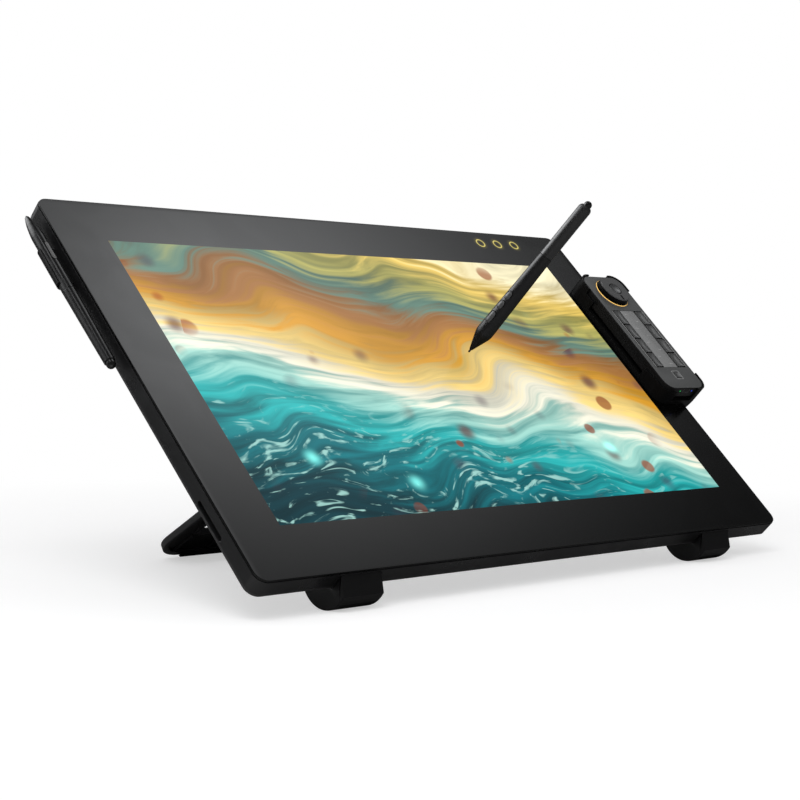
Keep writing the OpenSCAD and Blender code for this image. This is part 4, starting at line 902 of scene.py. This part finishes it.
@dataclass
class Housing:
    """Tablet: glass, side walls, back cover with vents and screws, pod and sockets."""

    width: float = 619.0
    height: float = 390.0
    corner: float = 10.0
    glass: float = 1.6
    glass_in: float = 0.4
    back: float = -17.0
    seam: float = -14.5
    vent_x: float = 230.0
    vent_y: float = 40.0
    vent_count: int = 12
    vent_pitch: float = 8.0
    vent: tuple[float, float] = (2.4, 60.0)
    screw_in: float = 9.0
    screw_r: float = 2.6
    seat_deep: float = 1.2
    seam_gap: float = 0.08

    def build(self) -> None:
        """Makes the glass and the back, and dresses what is carried over."""
        self.make_glass()
        self.make_back()
        self.dress_solids()

    def make_glass(self) -> None:
        """Cover glass whose rounded edge is near-black, a painted shade for the dark gap to the frame."""
        gap = self.glass_in
        outline = rounded_outline(self.width - 2 * gap, self.height - 2 * gap, self.corner - gap)
        walls = swept(*outline, soft_levels(-self.glass, 0.0, 0.2, 0.35))
        parts = [(skin(walls, True, False), Paint.GLASS_EDGE_SHADE), (skin(walls[-1:], False, True), ScreenGlass())]
        add_piece("display_glass", BOARD, parts, "tablet", ["cover_glass"])

    def screw_places(self) -> np.ndarray:
        """Places of the back's screws, six along the sides and six along the long edges.

        Returns:
            Points in the board's plane.
        """
        side = np.array([[s, f] for s in (-1, 1) for f in (-0.5, 0.0, 0.5)], float)
        side *= [self.width / 2 - self.screw_in, self.height - 4 * self.screw_in]
        edge = np.array([[f, s] for s in (-1, 1) for f in (-0.25, 0.0, 0.25)], float)
        edge *= [self.width, self.height / 2 - self.screw_in]
        return np.concatenate([side, edge])

    def make_back(self) -> None:
        """Back cover with a round edge, vent slots right through and sunk screw seats."""
        outline, normals = rounded_outline(self.width, self.height, self.corner)
        back, front = self.back, self.seam - self.seam_gap
        walls = swept(outline, normals, soft_levels(back, front, 1.0, 0.15))
        slot, _ = rounded_outline(*self.vent, self.vent[0] / 2 - 0.05, 5)
        steps = (np.arange(self.vent_count) - (self.vent_count - 1) / 2) * self.vent_pitch
        vents = [slot + [side * self.vent_x + step, self.vent_y] for side in (-1, 1) for step in steps]
        seats = [self.screw_r * circle(24) + place for place in self.screw_places()]
        shell = joined([
            skin(walls, False, False),
            pierced_face(walls[0], [at_level(hole, back) for hole in vents + seats]),
            pierced_face(walls[-1], [at_level(hole, front) for hole in vents]),
            *[band(hole, back, front) for hole in vents],
            *[band(hole, back, back + self.seat_deep, head=True) for hole in seats],
        ])
        add_piece("back_cover", BOARD, [(shell, Paint.BACK)], "tablet", ["rear_cover"])

    def dress_solids(self) -> None:
        """Finishes of the solids that keep their shape."""
        dress(Paint.FRAME, "mid_frame")
        dress(Paint.POD, "pod_cover")
        dress(Paint.FOAM, "glass_gasket")
        dress(Paint.PANEL, "lcd_panel")
        dress(Paint.DIFFUSER, "backlight_unit")
        dress(Paint.CIRCUIT, "sensor_board", "touch_key_board", "main_board")
        dress(Paint.PLATE, "shield_plate", "port_sockets")
        dress(Paint.BRASS, "vesa_inserts")
        dress(Paint.STEEL, "housing_screws")
        dress(Paint.RING, "touch_key_lights")
        dress(Moulded("power_key", grey(0.02), 0.35, edge=0.4), "power_key")


@dataclass
class Stand:
    """Front feet with pads, hinge brackets, and the rear leg with its rubber strip."""

    foot_x: float = 214.0
    foot_w: float = 40.0
    foot_r: float = 24.9
    foot_y: float = -183.4
    back: float = -17.0
    lip: tuple[float, float] = (-195.0, -3.2)
    crease_turn: float = 11.4
    pad_t: float = 1.5
    leg_w: float = 334.0
    leg_l: float = 231.0
    leg_t: float = 6.7
    arm: float = 20.0
    bar: float = 44.0
    corner: float = 31.0
    window_r: float = 6.0
    strip_r: float = 2.0
    strip_drop: float = 3.75
    rim: float = 3.2
    tray: float = 2.4
    ribs: int = 9

    def build(self) -> None:
        """Makes the feet and the leg, and dresses the hinge."""
        self.make_feet()
        self.make_leg()
        dress(Moulded("bracket_black", grey(0.02, 0.021), 0.4, edge=0.8), "hinge_brackets")
        dress(Paint.STEEL, "hinge_pins")

    def arc(self, radius: float, first: float, last: float, steps: int = 40) -> np.ndarray:
        """Arc about the foot's middle, in the plane across the tablet."""
        angle = np.radians(np.linspace(first, last, steps))
        return np.array([self.foot_y, self.back]) + radius * rays(angle)

    def make_feet(self) -> None:
        """Feet: a lip on the lower edge, a crease and a round underside, carried across the width."""
        round_side = self.arc(self.foot_r, 180 - self.crease_turn, 358.0)
        steps = np.linspace(0, 1, 8)[:, None]
        lip = np.array(self.lip) + (round_side[0] - np.array(self.lip)) * steps[:-1]
        edge = self.lip[0]
        rest = np.array([[y, self.back] for y in (-160.0, -170.0, -182.0, edge)] + [[edge, -11.0]])
        path = np.concatenate([lip, round_side, rest])
        half = self.foot_w / 2
        under = self.arc(self.foot_r + 0.02, 188.0, 278.0)
        tread_path = np.concatenate([under, self.arc(self.foot_r - self.pad_t, 278.0, 188.0)])
        block = carried(path, -half, half, 1.2, ALONG_X)
        tread = carried(tread_path, -half + 1.6, half - 1.6, 0.3, ALONG_X)
        feet, treads = (
            joined([one.moved((side * self.foot_x, 0, 0)) for side in (-1, 1)]) for one in (block, tread)
        )
        add_piece("round_feet", BOARD, [(feet, Paint.FEET)], "tablet", ["front_feet"])
        add_piece("foot_treads", BOARD, [(treads, Paint.RUBBER)], "tablet", ["foot_pads"])

    def make_leg(self) -> None:
        """Leg: a frame open at the hinge, a ribbed tray underneath, eyes for the pins, a half-round strip."""
        half, inner, top = self.leg_w / 2, self.leg_w / 2 - self.arm, self.leg_l - self.bar
        corners = [
            (half, 0), (half, self.leg_l), (-half, self.leg_l), (-half, 0),
            (-inner, 0), (-inner, top), (inner, top), (inner, 0),
        ]
        radii = [1.4, self.corner, self.corner, 1.4, 1.4, self.window_r, self.window_r, 1.4]
        walls = swept(*eased_polygon(corners, radii), soft_levels(-self.leg_t / 2, self.leg_t / 2, 1.1, 1.1))
        edge, end, low = self.rim, self.leg_l - 2 * self.strip_r - self.rim, -self.leg_t / 2
        hollow = [
            (half - edge, 6), (half - edge, end), (edge - half, end), (edge - half, 6),
            (-inner - edge, 6), (-inner - edge, top + edge), (inner + edge, top + edge), (inner + edge, 6),
        ]
        round_r, inside_r = self.corner - edge - 1, self.window_r + edge
        tray, _ = eased_polygon(hollow, [2, round_r, round_r, 2, 2, inside_r, inside_r, 2])
        pocket = pierced_face(at_level(tray, low + self.tray), [])
        sides = band(tray, low, low + self.tray)
        across = rounded_outline(1.6, end - top - edge + 0.4, 0.5, 3)
        middle = (0, (end + top + edge) / 2, 0)
        rib = soft_slab(across, low + 0.2, low + self.tray + 0.2, 0.2, 0.1).moved(middle)
        ribs = [rib.moved((x, 0, 0)) for x in np.linspace(-inner, inner, self.ribs)]
        faces = [pierced_face(walls[0], [at_level(tray, low)]), pierced_face(walls[-1], [])]
        bars = joined([skin(walls, False, False), *faces, pocket, sides, *ribs])
        r, ease = self.leg_t / 2, 0.5
        eyes = [
            lathe([(r - ease, a), (r, a + ease), (r, b - ease), (r - ease, b)], 40).turned(ALONG_X)
            for a, b in ((inner, half), (-half, -inner))
        ]
        parts = [(joined([bars, *eyes]), Paint.STAND)]
        add_piece("leg_frame", LEG, parts, "leg", ["stand_leg"])
        at = self.leg_l - self.strip_r
        under = np.array([at, -self.strip_drop]) + self.strip_r * rays(np.radians(np.linspace(180, 360, 25)))
        path = np.concatenate([under, [[at + self.strip_r, -r], [at - self.strip_r, -r]]])
        span = half - self.corner
        strip = carried(path, -span, span, 0.4, ALONG_X)
        add_piece("leg_tread", LEG, [(strip, Paint.RUBBER)], "leg", ["leg_strip"])


@dataclass
class PenClip:
    """Clip on the left wall that holds the slim pen."""

    axis: tuple[float, float] = (-317.35, -10.6)
    wall_x: float = -309.5
    bore: float = 5.45
    wall: float = 1.2
    jaw: float = 1.5
    y: float = 126.0
    length: float = 38.0

    def build(self) -> None:
        """Makes the clip: a C around the pen with a foot on the wall, carried along the wall."""
        outer = self.bore + self.wall
        top = math.degrees(math.asin(self.jaw / outer))
        out = np.radians(np.linspace(180 - top, 270, 24))
        inward = np.radians(np.linspace(0, -180, 32))
        foot = self.wall_x - self.axis[0]
        path = np.concatenate([
            outer * rays(out),
            [[foot / 2, -outer], [foot, -outer], [foot, 0.0], [foot, self.jaw], [self.bore, self.jaw]],
            self.bore * rays(inward),
            [[-self.bore, self.jaw]],
        ]) + np.array(self.axis)
        low, high = -self.y - self.length / 2, -self.y + self.length / 2
        body = carried(path, low, high, 0.35, ALONG_Y)
        add_piece("slim_clip", BOARD, [(body, Paint.CLIP)], "tablet", ["pen_clip"])


@dataclass
class Remote:
    """Quick-key remote: two shells, a window, two columns of keys, a square key and a dial."""

    width: float = 59.6
    height: float = 156.5
    thick: float = 12.0
    corner: float = 12.0
    seam: float = 6.5
    seam_gap: float = 0.12
    window: tuple[float, float] = (21.0, 78.0)
    window_y: float = -10.5
    columns: Pairs = ((-16.4, 8.2), (17.2, 10.0))
    key_gap: float = 1.5
    key_proud: float = 0.5
    key_low: float = 8.2
    square: float = 8.0
    square_y: float = -60.3
    dial_y: float = 54.0
    dial_r: float = 17.0
    dial_low: float = 12.9
    dial_h: float = 5.5
    dial_bore: float = 11.1
    dial_ease: float = 0.9
    button_r: float = 6.9
    button_low: float = 11.0
    ring_r: float = 18.7
    ring_in: float = 15.0
    ring_top: float = 12.5

    def build(self) -> None:
        """Makes the remote from its shells up to its dial."""
        self.make_shells()
        self.make_window()
        self.make_keys()
        self.make_dial()
        dress(Paint.CIRCUIT, "remote_board")
        dress(Paint.CELL, "remote_battery")
        dress(Paint.BLACK_AND_SHADE, "remote_display", "remote_switch")
        dress(Paint.STEEL, "remote_screws")
        dress(Paint.PLATE, "remote_socket")
        self.make_lights()

    def make_shells(self) -> None:
        """Upper shell with pockets for window, keys and ring, their walls and floors near-black as painted
        shade, and the lower shell under the seam.
        """
        outline, normals = rounded_outline(self.width, self.height, self.corner, 14)
        walls = swept(outline, normals, soft_levels(self.seam + self.seam_gap, self.thick, 0.15, 0.8))
        tall, wide = self.window[1] + 0.8, self.square + 1.5
        holes = [
            *[(rounded_outline(w + 2.4, tall, 0.9, 5)[0] + [x, self.window_y], 2.0) for x, w in self.columns],
            (rounded_outline(self.window[0] + 0.2, tall, 0.5, 5)[0] + [0, self.window_y], 1.2),
            (rounded_outline(wide, wide, 0.9, 5)[0] + [0, self.square_y], 2.0),
            ((self.ring_r + 0.25) * circle(64) + [0, self.dial_y], 0.8),
        ]
        face = pierced_face(walls[-1], [at_level(hole, self.thick) for hole, _ in holes])
        # Pocket walls and floors are near-black: painted shade in the recesses.
        pocket_shade = joined([band(hole, self.thick - deep, self.thick, foot=True) for hole, deep in holes])
        parts = [(skin(walls, True, False), Paint.SHELL), (face, Paint.FACE), (pocket_shade, Paint.BLACK_AND_SHADE)]
        add_piece("remote_shell_top", REMOTE, parts, "remote", ["remote_top"])
        lower = soft_slab((outline, normals), 0.0, self.seam - self.seam_gap, 1.5, 0.15)
        add_piece("remote_shell_low", REMOTE, [(lower, Paint.SHELL)], "remote", ["remote_base"])

    def make_window(self) -> None:
        """Window lens with a row of plain dashes, and ribbed strips, light grey as a painted highlight, on
        near-black beds that paint the shade outside the keys.
        """
        top, tall, middle = self.thick, self.window[1], (0, self.window_y, 0)
        pane = rounded_outline(self.window[0] - 0.3, tall, 0.4, 5)
        lens = soft_slab(pane, top - 1.2, top + 0.05, 0.05, 0.1)
        dash = soft_slab(rounded_outline(4.6, 0.55, 0.2, 3), top + 0.05, top + 0.09, 0.01, 0.01)
        rows = (np.arange(8) - 3.5) * tall / 8
        dashes = joined([dash.moved(((-1) ** i * 4.6, row, 0)) for i, row in enumerate(rows)])
        parts = [(lens.moved(middle), Paint.LENS), (dashes.moved(middle), Paint.MARK)]
        add_piece("window_pane", REMOTE, parts, "remote", ["remote_window"])
        along = np.linspace(-tall / 2, tall / 2, 521)
        x, y = np.meshgrid([-0.5, -0.45, 0.45, 0.5], along)
        crown = 0.22 * np.abs(np.sin(math.pi * along / 1.2))[:, None] * np.array([0.0, 1.0, 1.0, 0.0])
        index = np.arange(x.size).reshape(x.shape)
        quads = np.stack([index[:-1, :-1], index[:-1, 1:], index[1:, 1:], index[1:, :-1]], axis=-1)
        grid = np.stack([x, y, top + 0.02 + crown], axis=-1)
        strip = Surface(grid.reshape(-1, 3), quads.reshape(-1, 4).tolist())
        # Near-black beds under the rib strips: painted shade beside the keys.
        shade_bed = soft_slab(rounded_outline(2.3, tall + 0.8, 0.3, 3), top - 0.1, top + 0.02, 0.01, 0.01)
        places = [(at + math.copysign(wide / 2 + 2.4, at), self.window_y, 0) for at, wide in self.columns]
        ribs, shade_beds = (joined([one.moved(place) for place in places]) for one in (strip, shade_bed))
        parts = [(ribs, Paint.TRIM_HIGHLIGHT), (shade_beds, Paint.BLACK_AND_SHADE)]
        add_piece("rib_strips", REMOTE, parts, "remote")

    def make_keys(self) -> None:
        """Eight long keys with a hollow top, dark bumps between them, and the square key in its frame."""
        pitch, top = self.window[1] / 4, self.thick + self.key_proud
        for number in range(8):
            x, wide = self.columns[number // 4]
            y = self.window_y + self.window[1] / 2 - (number % 4 + 0.5) * pitch
            outline = rounded_outline(wide, pitch - self.key_gap, 0.7, 5)
            cap = dished_slab(outline, self.key_low, top, 0.3, 1.1).moved((x, y, 0))
            name = f"key_{number + 1}"
            add_piece(f"{name}_cap", REMOTE, [(cap, Paint.KEY)], name, [name])
        bump = soft_slab(rounded_outline(6.4, 1.0, 0.45, 5), self.thick - 1.9, top + 0.4, 0.05, 0.4)
        rows = self.window_y + np.array([-1, 0, 1]) * pitch
        bumps = [bump.moved((x, row, 0)) for x, _ in self.columns for row in rows]
        add_piece("key_dividers", REMOTE, [(joined(bumps), Paint.DIAL_SIDE)], "remote")
        side, at = self.square, (0, self.square_y, 0)
        cap = dished_slab(rounded_outline(side, side, 0.6, 5), self.key_low, top, 0.3, 0.4).moved(at)
        add_piece("square_cap", REMOTE, [(cap, Paint.KEY)], "square_key", ["square_key"])
        # The frame round the square key is light grey, a painted highlight on its rim.
        outer, _ = rounded_outline(side + 3.1, side + 3.1, 1.3, 5)
        inner, _ = rounded_outline(side + 1.6, side + 1.6, 0.9, 5)
        low, high = self.thick, self.thick + 0.15
        rim = [at_level(outer, low), at_level(outer, high), at_level(inner, high), at_level(inner, low)]
        trim = skin(np.stack(rim), False, False).moved(at)
        add_piece("square_trim_highlight", REMOTE, [(trim, Paint.TRIM_HIGHLIGHT)], "remote")

    def make_dial(self) -> None:
        """Dial with a black undercut, a near-black slab on its top as the painted shade of a notch, its
        hollow button, and the gold ring below.
        """
        low, top = self.dial_low, self.dial_low + self.dial_h
        r, b, bore, ease = self.dial_r, self.button_r + 0.4, self.dial_bore, self.dial_ease
        angle = np.radians(np.linspace(0, 90, 7))
        rim = np.stack([r - ease * (1 - np.cos(angle)), top - ease * (1 - np.sin(angle))], axis=-1).tolist()
        side = lathe([(bore, low), (r - 0.6, low), (r - 0.15, low + 0.4), rim[0]], 96, False)
        hollow = [(b, top - 0.3), (b, low + 3.3), (bore, low + 3.3), (bore, low)]
        crown = lathe([*rim, (r - 3.0, top - 0.02), (b + 0.3, top - 0.06), *hollow], 96, False)
        # Near-black slab on the dial's top: painted shade of a notch.
        notch_shade = soft_slab(rounded_outline(2.4, 6.2, 0.6, 5), top - 0.2, top + 0.05, 0.02, 0.02)
        notch_shade = notch_shade.moved((0, -r + 4.6, 0))
        parts = [(side, Paint.DIAL_SIDE), (crown, Paint.DIAL), (notch_shade, Paint.BLACK_AND_SHADE)]
        place = REMOTE.child((0, self.dial_y, 0))
        add_piece("dial_wheel", place, parts, "dial", ["dial"])
        share, hub = np.linspace(1, 0.02, 14), self.button_r - 0.4
        dish = np.stack([(hub - 0.4) * share, top - 0.35 - 1.0 * (1 - share**2)], axis=-1)
        cap = lathe([(hub, self.button_low), (hub, top - 0.65), (hub - 0.15, top - 0.4), *dish.tolist()], 72)
        add_piece("dial_hub", place, [(cap, Paint.HOLLOW)], "dial_button", ["dial_button"])
        foot, out, crest = self.thick - 0.8, self.ring_r, self.ring_top
        glow = [(out, foot), (out, crest - 0.25), (out - 0.25, crest)]
        deck = [glow[-1], (self.ring_in, crest), (self.ring_in, foot), glow[0]]
        parts = [(lathe(glow, 96, False), Paint.RING), (lathe(deck, 96, False), Paint.DIAL_SIDE)]
        add_piece("glow_ring", place, parts, "remote", ["dial_light_ring"])

    def make_lights(self) -> None:
        """Two small light pipes with round ends, green on the left and blue on the right."""
        angle = np.radians(np.linspace(0, 88, 7))
        end = np.stack([0.9 * np.cos(angle), self.height / 2 - 0.05 + 0.25 * np.sin(angle)], axis=-1)
        pipe = lathe([(0.9, self.height / 2 - 2.5), *end.tolist()], 24).turned(ALONG_Y)
        z = (self.seam + self.thick - 2.0) / 2
        parts = [(pipe.moved((-9.0, 0, z)), Paint.GREEN), (pipe.moved((9.0, 0, z)), Paint.BLUE)]
        add_piece("light_pipes", REMOTE, parts, "remote", ["status_lights"])


def add_ends(
    name: str, place: Place, nib: tuple[float, float], eraser: tuple[float, float, float]
) -> None:
    """Makes a pen's nib and eraser, each straight inside the pen and ending in a half circle.

    Args:
        name: First word of the pieces' names.
        place: Where the pen's drawing sits.
        nib: Its radius, and where it ends inside the pen.
        eraser: Its radius, where it starts inside the pen, and the end of its dome.
    """
    r, inside = nib
    rows = np.concatenate([r * rays(np.radians(np.linspace(-88, 0, 9))), [[r, inside]]])
    node = f"{name}_nib"
    add_piece(f"{node}_tip", place, [(lathe(rows, 32), Paint.NIB)], node, [node])
    r, start, end = eraser
    dome = r * rays(np.radians(np.linspace(0, 88, 13))) + [0, end - r]
    node = f"{name}_eraser"
    tip = lathe(np.concatenate([[[r, start]], dome]))
    add_piece(f"{node}_tip", place, [(tip, Paint.ERASER)], node, [node])


@dataclass
class DrawingPen:
    """Thick pen on the glass: grip with three buttons, barrel, nib and eraser."""

    grip_r: float = 7.9
    barrel_r: float = 6.2
    cone: float = 20.0
    wide: float = 26.0
    joint: float = 107.0
    tail: float = 162.1
    nib_r: float = 0.9
    nib_out: float = 2.2
    nib_in: float = 15.2
    mouth_r: float = 1.4
    nose_ease: float = 0.35
    eraser_r: float = 3.6
    end: float = 168.1
    buttons: Pairs = ((36.0, 12.0), (50.0, 8.5), (60.5, 8.5))
    button_w: float = 6.0
    button_up: float = 0.95

    def grip_radius(self, at: float) -> float:
        """Radius of the tapering grip at a place along the pen."""
        past, taper = max(0.0, at - self.wide), self.joint - self.wide
        return self.grip_r + (self.barrel_r - self.grip_r) * past / taper

    def build(self) -> None:
        """Makes the pen from the nib to the eraser, its nose a cone eased into the grip by a soft minimum."""
        r, full, mouth, out, ease = self.barrel_r, self.grip_r, self.mouth_r, self.nib_out, self.nose_ease
        along = np.linspace(out, self.wide, 30)
        line = mouth + (full - mouth) * (along - out) / (self.cone - out)
        nose = np.stack([line - ease * np.log1p(np.exp((line - full) / ease)), along], axis=-1)
        collar = [(r + 0.02, self.joint - 0.25), (r - 0.25, self.joint - 0.05)]
        grip = lathe([(1.05, out + 0.4), (1.2, out), *nose.tolist(), *collar])
        # Thin near-black pads just larger than the buttons: painted shade of the gaps round them.
        button_gap_shade = joined([
            domed_pad(self.grip_radius(at), at, length + 1.4, self.button_w + 1.6, 0.03, 0.3)
            for at, length in self.buttons
        ])
        parts = [(grip, Paint.PEN), (button_gap_shade, Paint.BLACK_AND_SHADE)]
        add_piece("pen_grip_body", PEN, parts, "pen", ["pen_grip"])
        barrel = lathe([
            (r - 0.3, self.joint), (r, self.joint + 0.25), (r, self.tail - 2.6), (r - 0.15, self.tail - 1.6),
            (r - 0.6, self.tail - 0.4), (r - 1.5, self.tail + 0.7), (self.eraser_r + 0.35, self.tail + 1.1),
            (self.eraser_r + 0.12, self.tail + 0.8),
        ])
        add_piece("pen_rear_body", PEN, [(barrel, Paint.REAR)], "pen", ["pen_barrel"])
        nib, eraser = (self.nib_r, out + self.nib_in), (self.eraser_r, self.tail - 7.0, self.end)
        add_ends("pen", PEN, nib, eraser)
        for number, (at, length) in enumerate(self.buttons, 1):
            pad = domed_pad(self.grip_radius(at), at, length, self.button_w, self.button_up, 2.0, 0.1)
            name = f"pen_button_{number}"
            add_piece(f"{name}_cap", PEN, [(pad, Paint.PEN_BUTTON)], name, [name])
        dress(Paint.CIRCUIT, "pen_core")


@dataclass
class SlimPen:
    """Slim pen in the clip: one barrel with a rocker, a nib and an eraser."""

    r: float = 5.25
    tail_r: float = 4.4
    grip_end: float = 84.0
    tail: float = 159.2
    end: float = 165.2
    nib_r: float = 0.9
    nib_out: float = 1.0
    nib_in: float = 16.4
    eraser_r: float = 3.7
    rocker: tuple[float, float, float] = (43.5, 19.0, 3.6)
    nose: Pairs = (
        (1.75, 1.0), (2.3, 3.0), (3.1, 6.0), (3.9, 10.0), (4.65, 16.0), (5.1, 21.0), (5.25, 24.0),
    )

    def build(self) -> None:
        """Makes the slim pen from the nib to the eraser."""
        r, out, joint, tail = self.r, self.nib_out, self.grip_end, self.tail
        front = lathe([(1.1, out + 0.4), (1.5, out), *self.nose, (r, joint - 0.3), (r - 0.2, joint)])
        rear = lathe([
            (r - 0.2, joint), (r - 0.02, joint + 0.3), (self.tail_r, tail - 0.4), (self.tail_r - 0.3, tail),
            (self.eraser_r + 0.12, tail - 0.3),
        ])
        at, length, width = self.rocker
        to_front = turn_about(Axis.Z, 90.0)
        # Thin near-black pad just larger than the rocker: painted shade of the gap round it.
        rocker_gap_shade = domed_pad(r, at, length + 1.2, width + 0.7, 0.03, 0.3).turned(to_front)
        parts = [(front, Paint.SLIM), (rear, Paint.SLIM), (rocker_gap_shade, Paint.BLACK_AND_SHADE)]
        add_piece("slim_body", SLIM_PEN, parts, "slim_pen", ["slim_barrel"])
        nib, eraser = (self.nib_r, out + self.nib_in), (self.eraser_r, tail - 7.0, self.end)
        add_ends("slim", SLIM_PEN, nib, eraser)
        bar = domed_pad(r, at, length, width, 0.4, 2.0, 0.15).turned(to_front)
        parts = [(bar, Paint.ROCKER_GREY_AND_HIGHLIGHT)]
        add_piece("slim_rocker_bar", SLIM_PEN, parts, "slim_rocker", ["slim_rocker"])
        dress(Paint.CIRCUIT, "slim_core")


@dataclass
class Studio:
    """Pale floor, soft light, a dark surround that the glass reflects, and the camera."""

    lens: float = 75.8305
    eye: Point = (-1.03052, -1.03015, 0.19254)
    axes: tuple[Point, ...] = (
        (0.716321, 0.015482, -0.697599), (-0.697650, 0.034501, -0.715608), (0.012989, 0.999285, 0.035515),
    )
    floor_half: float = 12.0
    key_size: tuple[float, float] = (1.4, 1.2)
    key_at: Point = (-1.3, -1.0, 1.8)
    key_aim: Point = (0.0, 0.0, 0.15)
    key_power: float = 26.0
    # Middle of the floor patch that is painted bright for reflections only.
    painted_reflection_at: Point = (-0.44, -0.20, 0.0)
    ambient: float = 0.55

    def build(self) -> None:
        """Makes the floor, the lights, the world and the camera."""
        self.make_floor()
        self.make_light()
        self.make_world()
        self.make_camera()

    def make_floor(self) -> None:
        """Floor that keeps the soft shadow near the object and runs out to white; in reflections it is a
        darker grey, with a painted bright patch at the front left for the tablet's corner to reflect.
        """
        material, graph, shader = new_material("studio_floor")
        where = graph.place()
        fade = graph.span(graph.vector("LENGTH", {0: where}, "Value"), 0.4, 0.95)
        path = graph.add("ShaderNodeLightPath").outputs
        seen = path["Is Camera Ray"]
        # Painted reflection: the floor shows darker grey in reflections, and a brighter patch at the front
        # left for the corner's streaks.
        aside = graph.vector("DISTANCE", {0: where, 1: self.painted_reflection_at}, "Value")
        painted_reflection_patch = graph.mix(graph.span(aside, 0.18, 0.10), rgba(grey(0.20, 0.202)), rgba(grey(0.85)))
        mirrored = graph.mix(path["Is Glossy Ray"], rgba(grey(0.80)), painted_reflection_patch)
        graph.put(shader, {
            "Base Color": graph.mix(seen, mirrored, rgba(grey(0.60, 0.605))),
            "Roughness": 0.7,
            "Specular IOR Level": 0.1,
            "Emission Color": WHITE,
            "Emission Strength": graph.math("MULTIPLY", seen, 0.50),
        })
        white = graph.add("ShaderNodeEmission", {"Color": WHITE, "Strength": 1.0})
        share = graph.math("MULTIPLY", fade, seen)
        blend = graph.add("ShaderNodeMixShader", {0: share, 1: shader.outputs[0], 2: white.outputs[0]})
        graph.put(material.node_tree.nodes["Material Output"], {"Surface": blend.outputs[0]})
        h = self.floor_half
        mesh = bpy.data.meshes.new("floor")
        mesh.from_pydata([(-h, -h, 0), (h, -h, 0), (h, h, 0), (-h, h, 0)], [], [[0, 1, 2, 3]])
        mesh.materials.append(material)
        piece = linked("floor", mesh)

    def make_light(self) -> None:
        """One large soft lamp, high at the front left, that reflections leave out."""
        lamp = bpy.data.lights.new("key", "AREA")
        lamp.shape = "RECTANGLE"
        lamp.size, lamp.size_y = self.key_size
        lamp.energy = self.key_power
        holder = linked("key", lamp)
        holder.location = self.key_at
        holder.visible_glossy = False
        holder.rotation_mode = "QUATERNION"
        holder.rotation_quaternion = (Vector(self.key_aim) - Vector(self.key_at)).to_track_quat("-Z", "Y")

    def soft_box(
        self,
        graph: Graph,
        toward: Point,
        reach: float,
        gain: float,
        stops: Sequence[tuple[float, float]],
    ) -> Socket:
        """Brightness of a soft box: a ramp over one minus the cosine between the ray and its direction.

        Args:
            graph: Graph of the world.
            toward: Direction of the box's middle, of unit length.
            reach: One minus the cosine at its rim.
            gain: Brightness of a share of one.
            stops: Places from the middle to the rim, and shares.

        Returns:
            The brightness.
        """
        ray = graph.add("ShaderNodeTexCoord").outputs["Generated"]
        cosine = graph.vector("DOT_PRODUCT", {0: ray, 1: toward}, "Value")
        off = graph.math("DIVIDE", graph.math("SUBTRACT", 1.0, cosine), reach)
        shades = [(place, grey(share)) for place, share in stops]
        return graph.math("MULTIPLY", graph.ramp(off, shades, "LINEAR"), gain)

    def make_world(self) -> None:
        """World: white where seen, in reflections three soft boxes in the dark, even light elsewhere."""
        world = bpy.data.worlds.new("studio_world")
        world.use_nodes = True
        bpy.context.scene.world = world
        graph = Graph(world.node_tree)
        path = graph.add("ShaderNodeLightPath").outputs
        seen = graph.math("MAXIMUM", path["Is Camera Ray"], path["Is Transmission Ray"])
        over = self.soft_box(graph, (0.559, -0.008, 0.829), 0.118, 2.3, [
            (0.0, 1.0), (0.02, 0.98), (0.05, 0.75), (0.10, 0.49), (0.19, 0.32), (0.29, 0.21),
            (0.41, 0.11), (0.53, 0.065), (0.68, 0.033), (0.80, 0.018), (1.0, 0.01),
        ])
        rear_stops = [(0.0, 1.0), (0.4, 1.0), (0.75, 0.25), (1.0, 0.0)]
        rear = self.soft_box(graph, (-0.36, 0.72, 0.593), 0.16, 4.2, rear_stops)
        strip = self.soft_box(graph, (-0.375, -0.04, 0.926), 0.010, 3.0, [(0.0, 1.0), (0.4, 1.0), (1.0, 0.0)])
        boxes = graph.math("ADD", graph.math("ADD", over, rear), graph.math("ADD", strip, 0.02))
        cool = graph.vector("MULTIPLY", {0: boxes, 1: (0.985, 1.0, 1.015)})
        even = graph.mix(path["Is Glossy Ray"], rgba(grey(1.0), self.ambient), cool)
        sky = world.node_tree.nodes["Background"]
        graph.put(sky, {"Color": graph.mix(seen, even, WHITE), "Strength": 1.0})

    def make_camera(self) -> None:
        """Camera at the photograph's place."""
        camera = bpy.data.cameras.new("camera")
        camera.lens = self.lens
        camera.sensor_width = 36.0
        camera.clip_start, camera.clip_end = 0.05, 60.0
        holder = linked("camera", camera)
        matrix = Matrix(self.axes).to_4x4()
        matrix.translation = self.eye
        holder.matrix_world = matrix
        bpy.context.scene.camera = holder


def main() -> None:
    """Builds the studio and the object in order."""
    logging.basicConfig(level=logging.INFO, format="%(name)s %(message)s")
    bpy.context.scene.view_settings.view_transform = "Standard"
    Studio().build()
    Housing().build()
    Stand().build()
    PenClip().build()
    dress(Paint.CRADLE, "remote_cradle")
    Remote().build()
    DrawingPen().build()
    SlimPen().build()


if __name__ == "__main__":
    main()
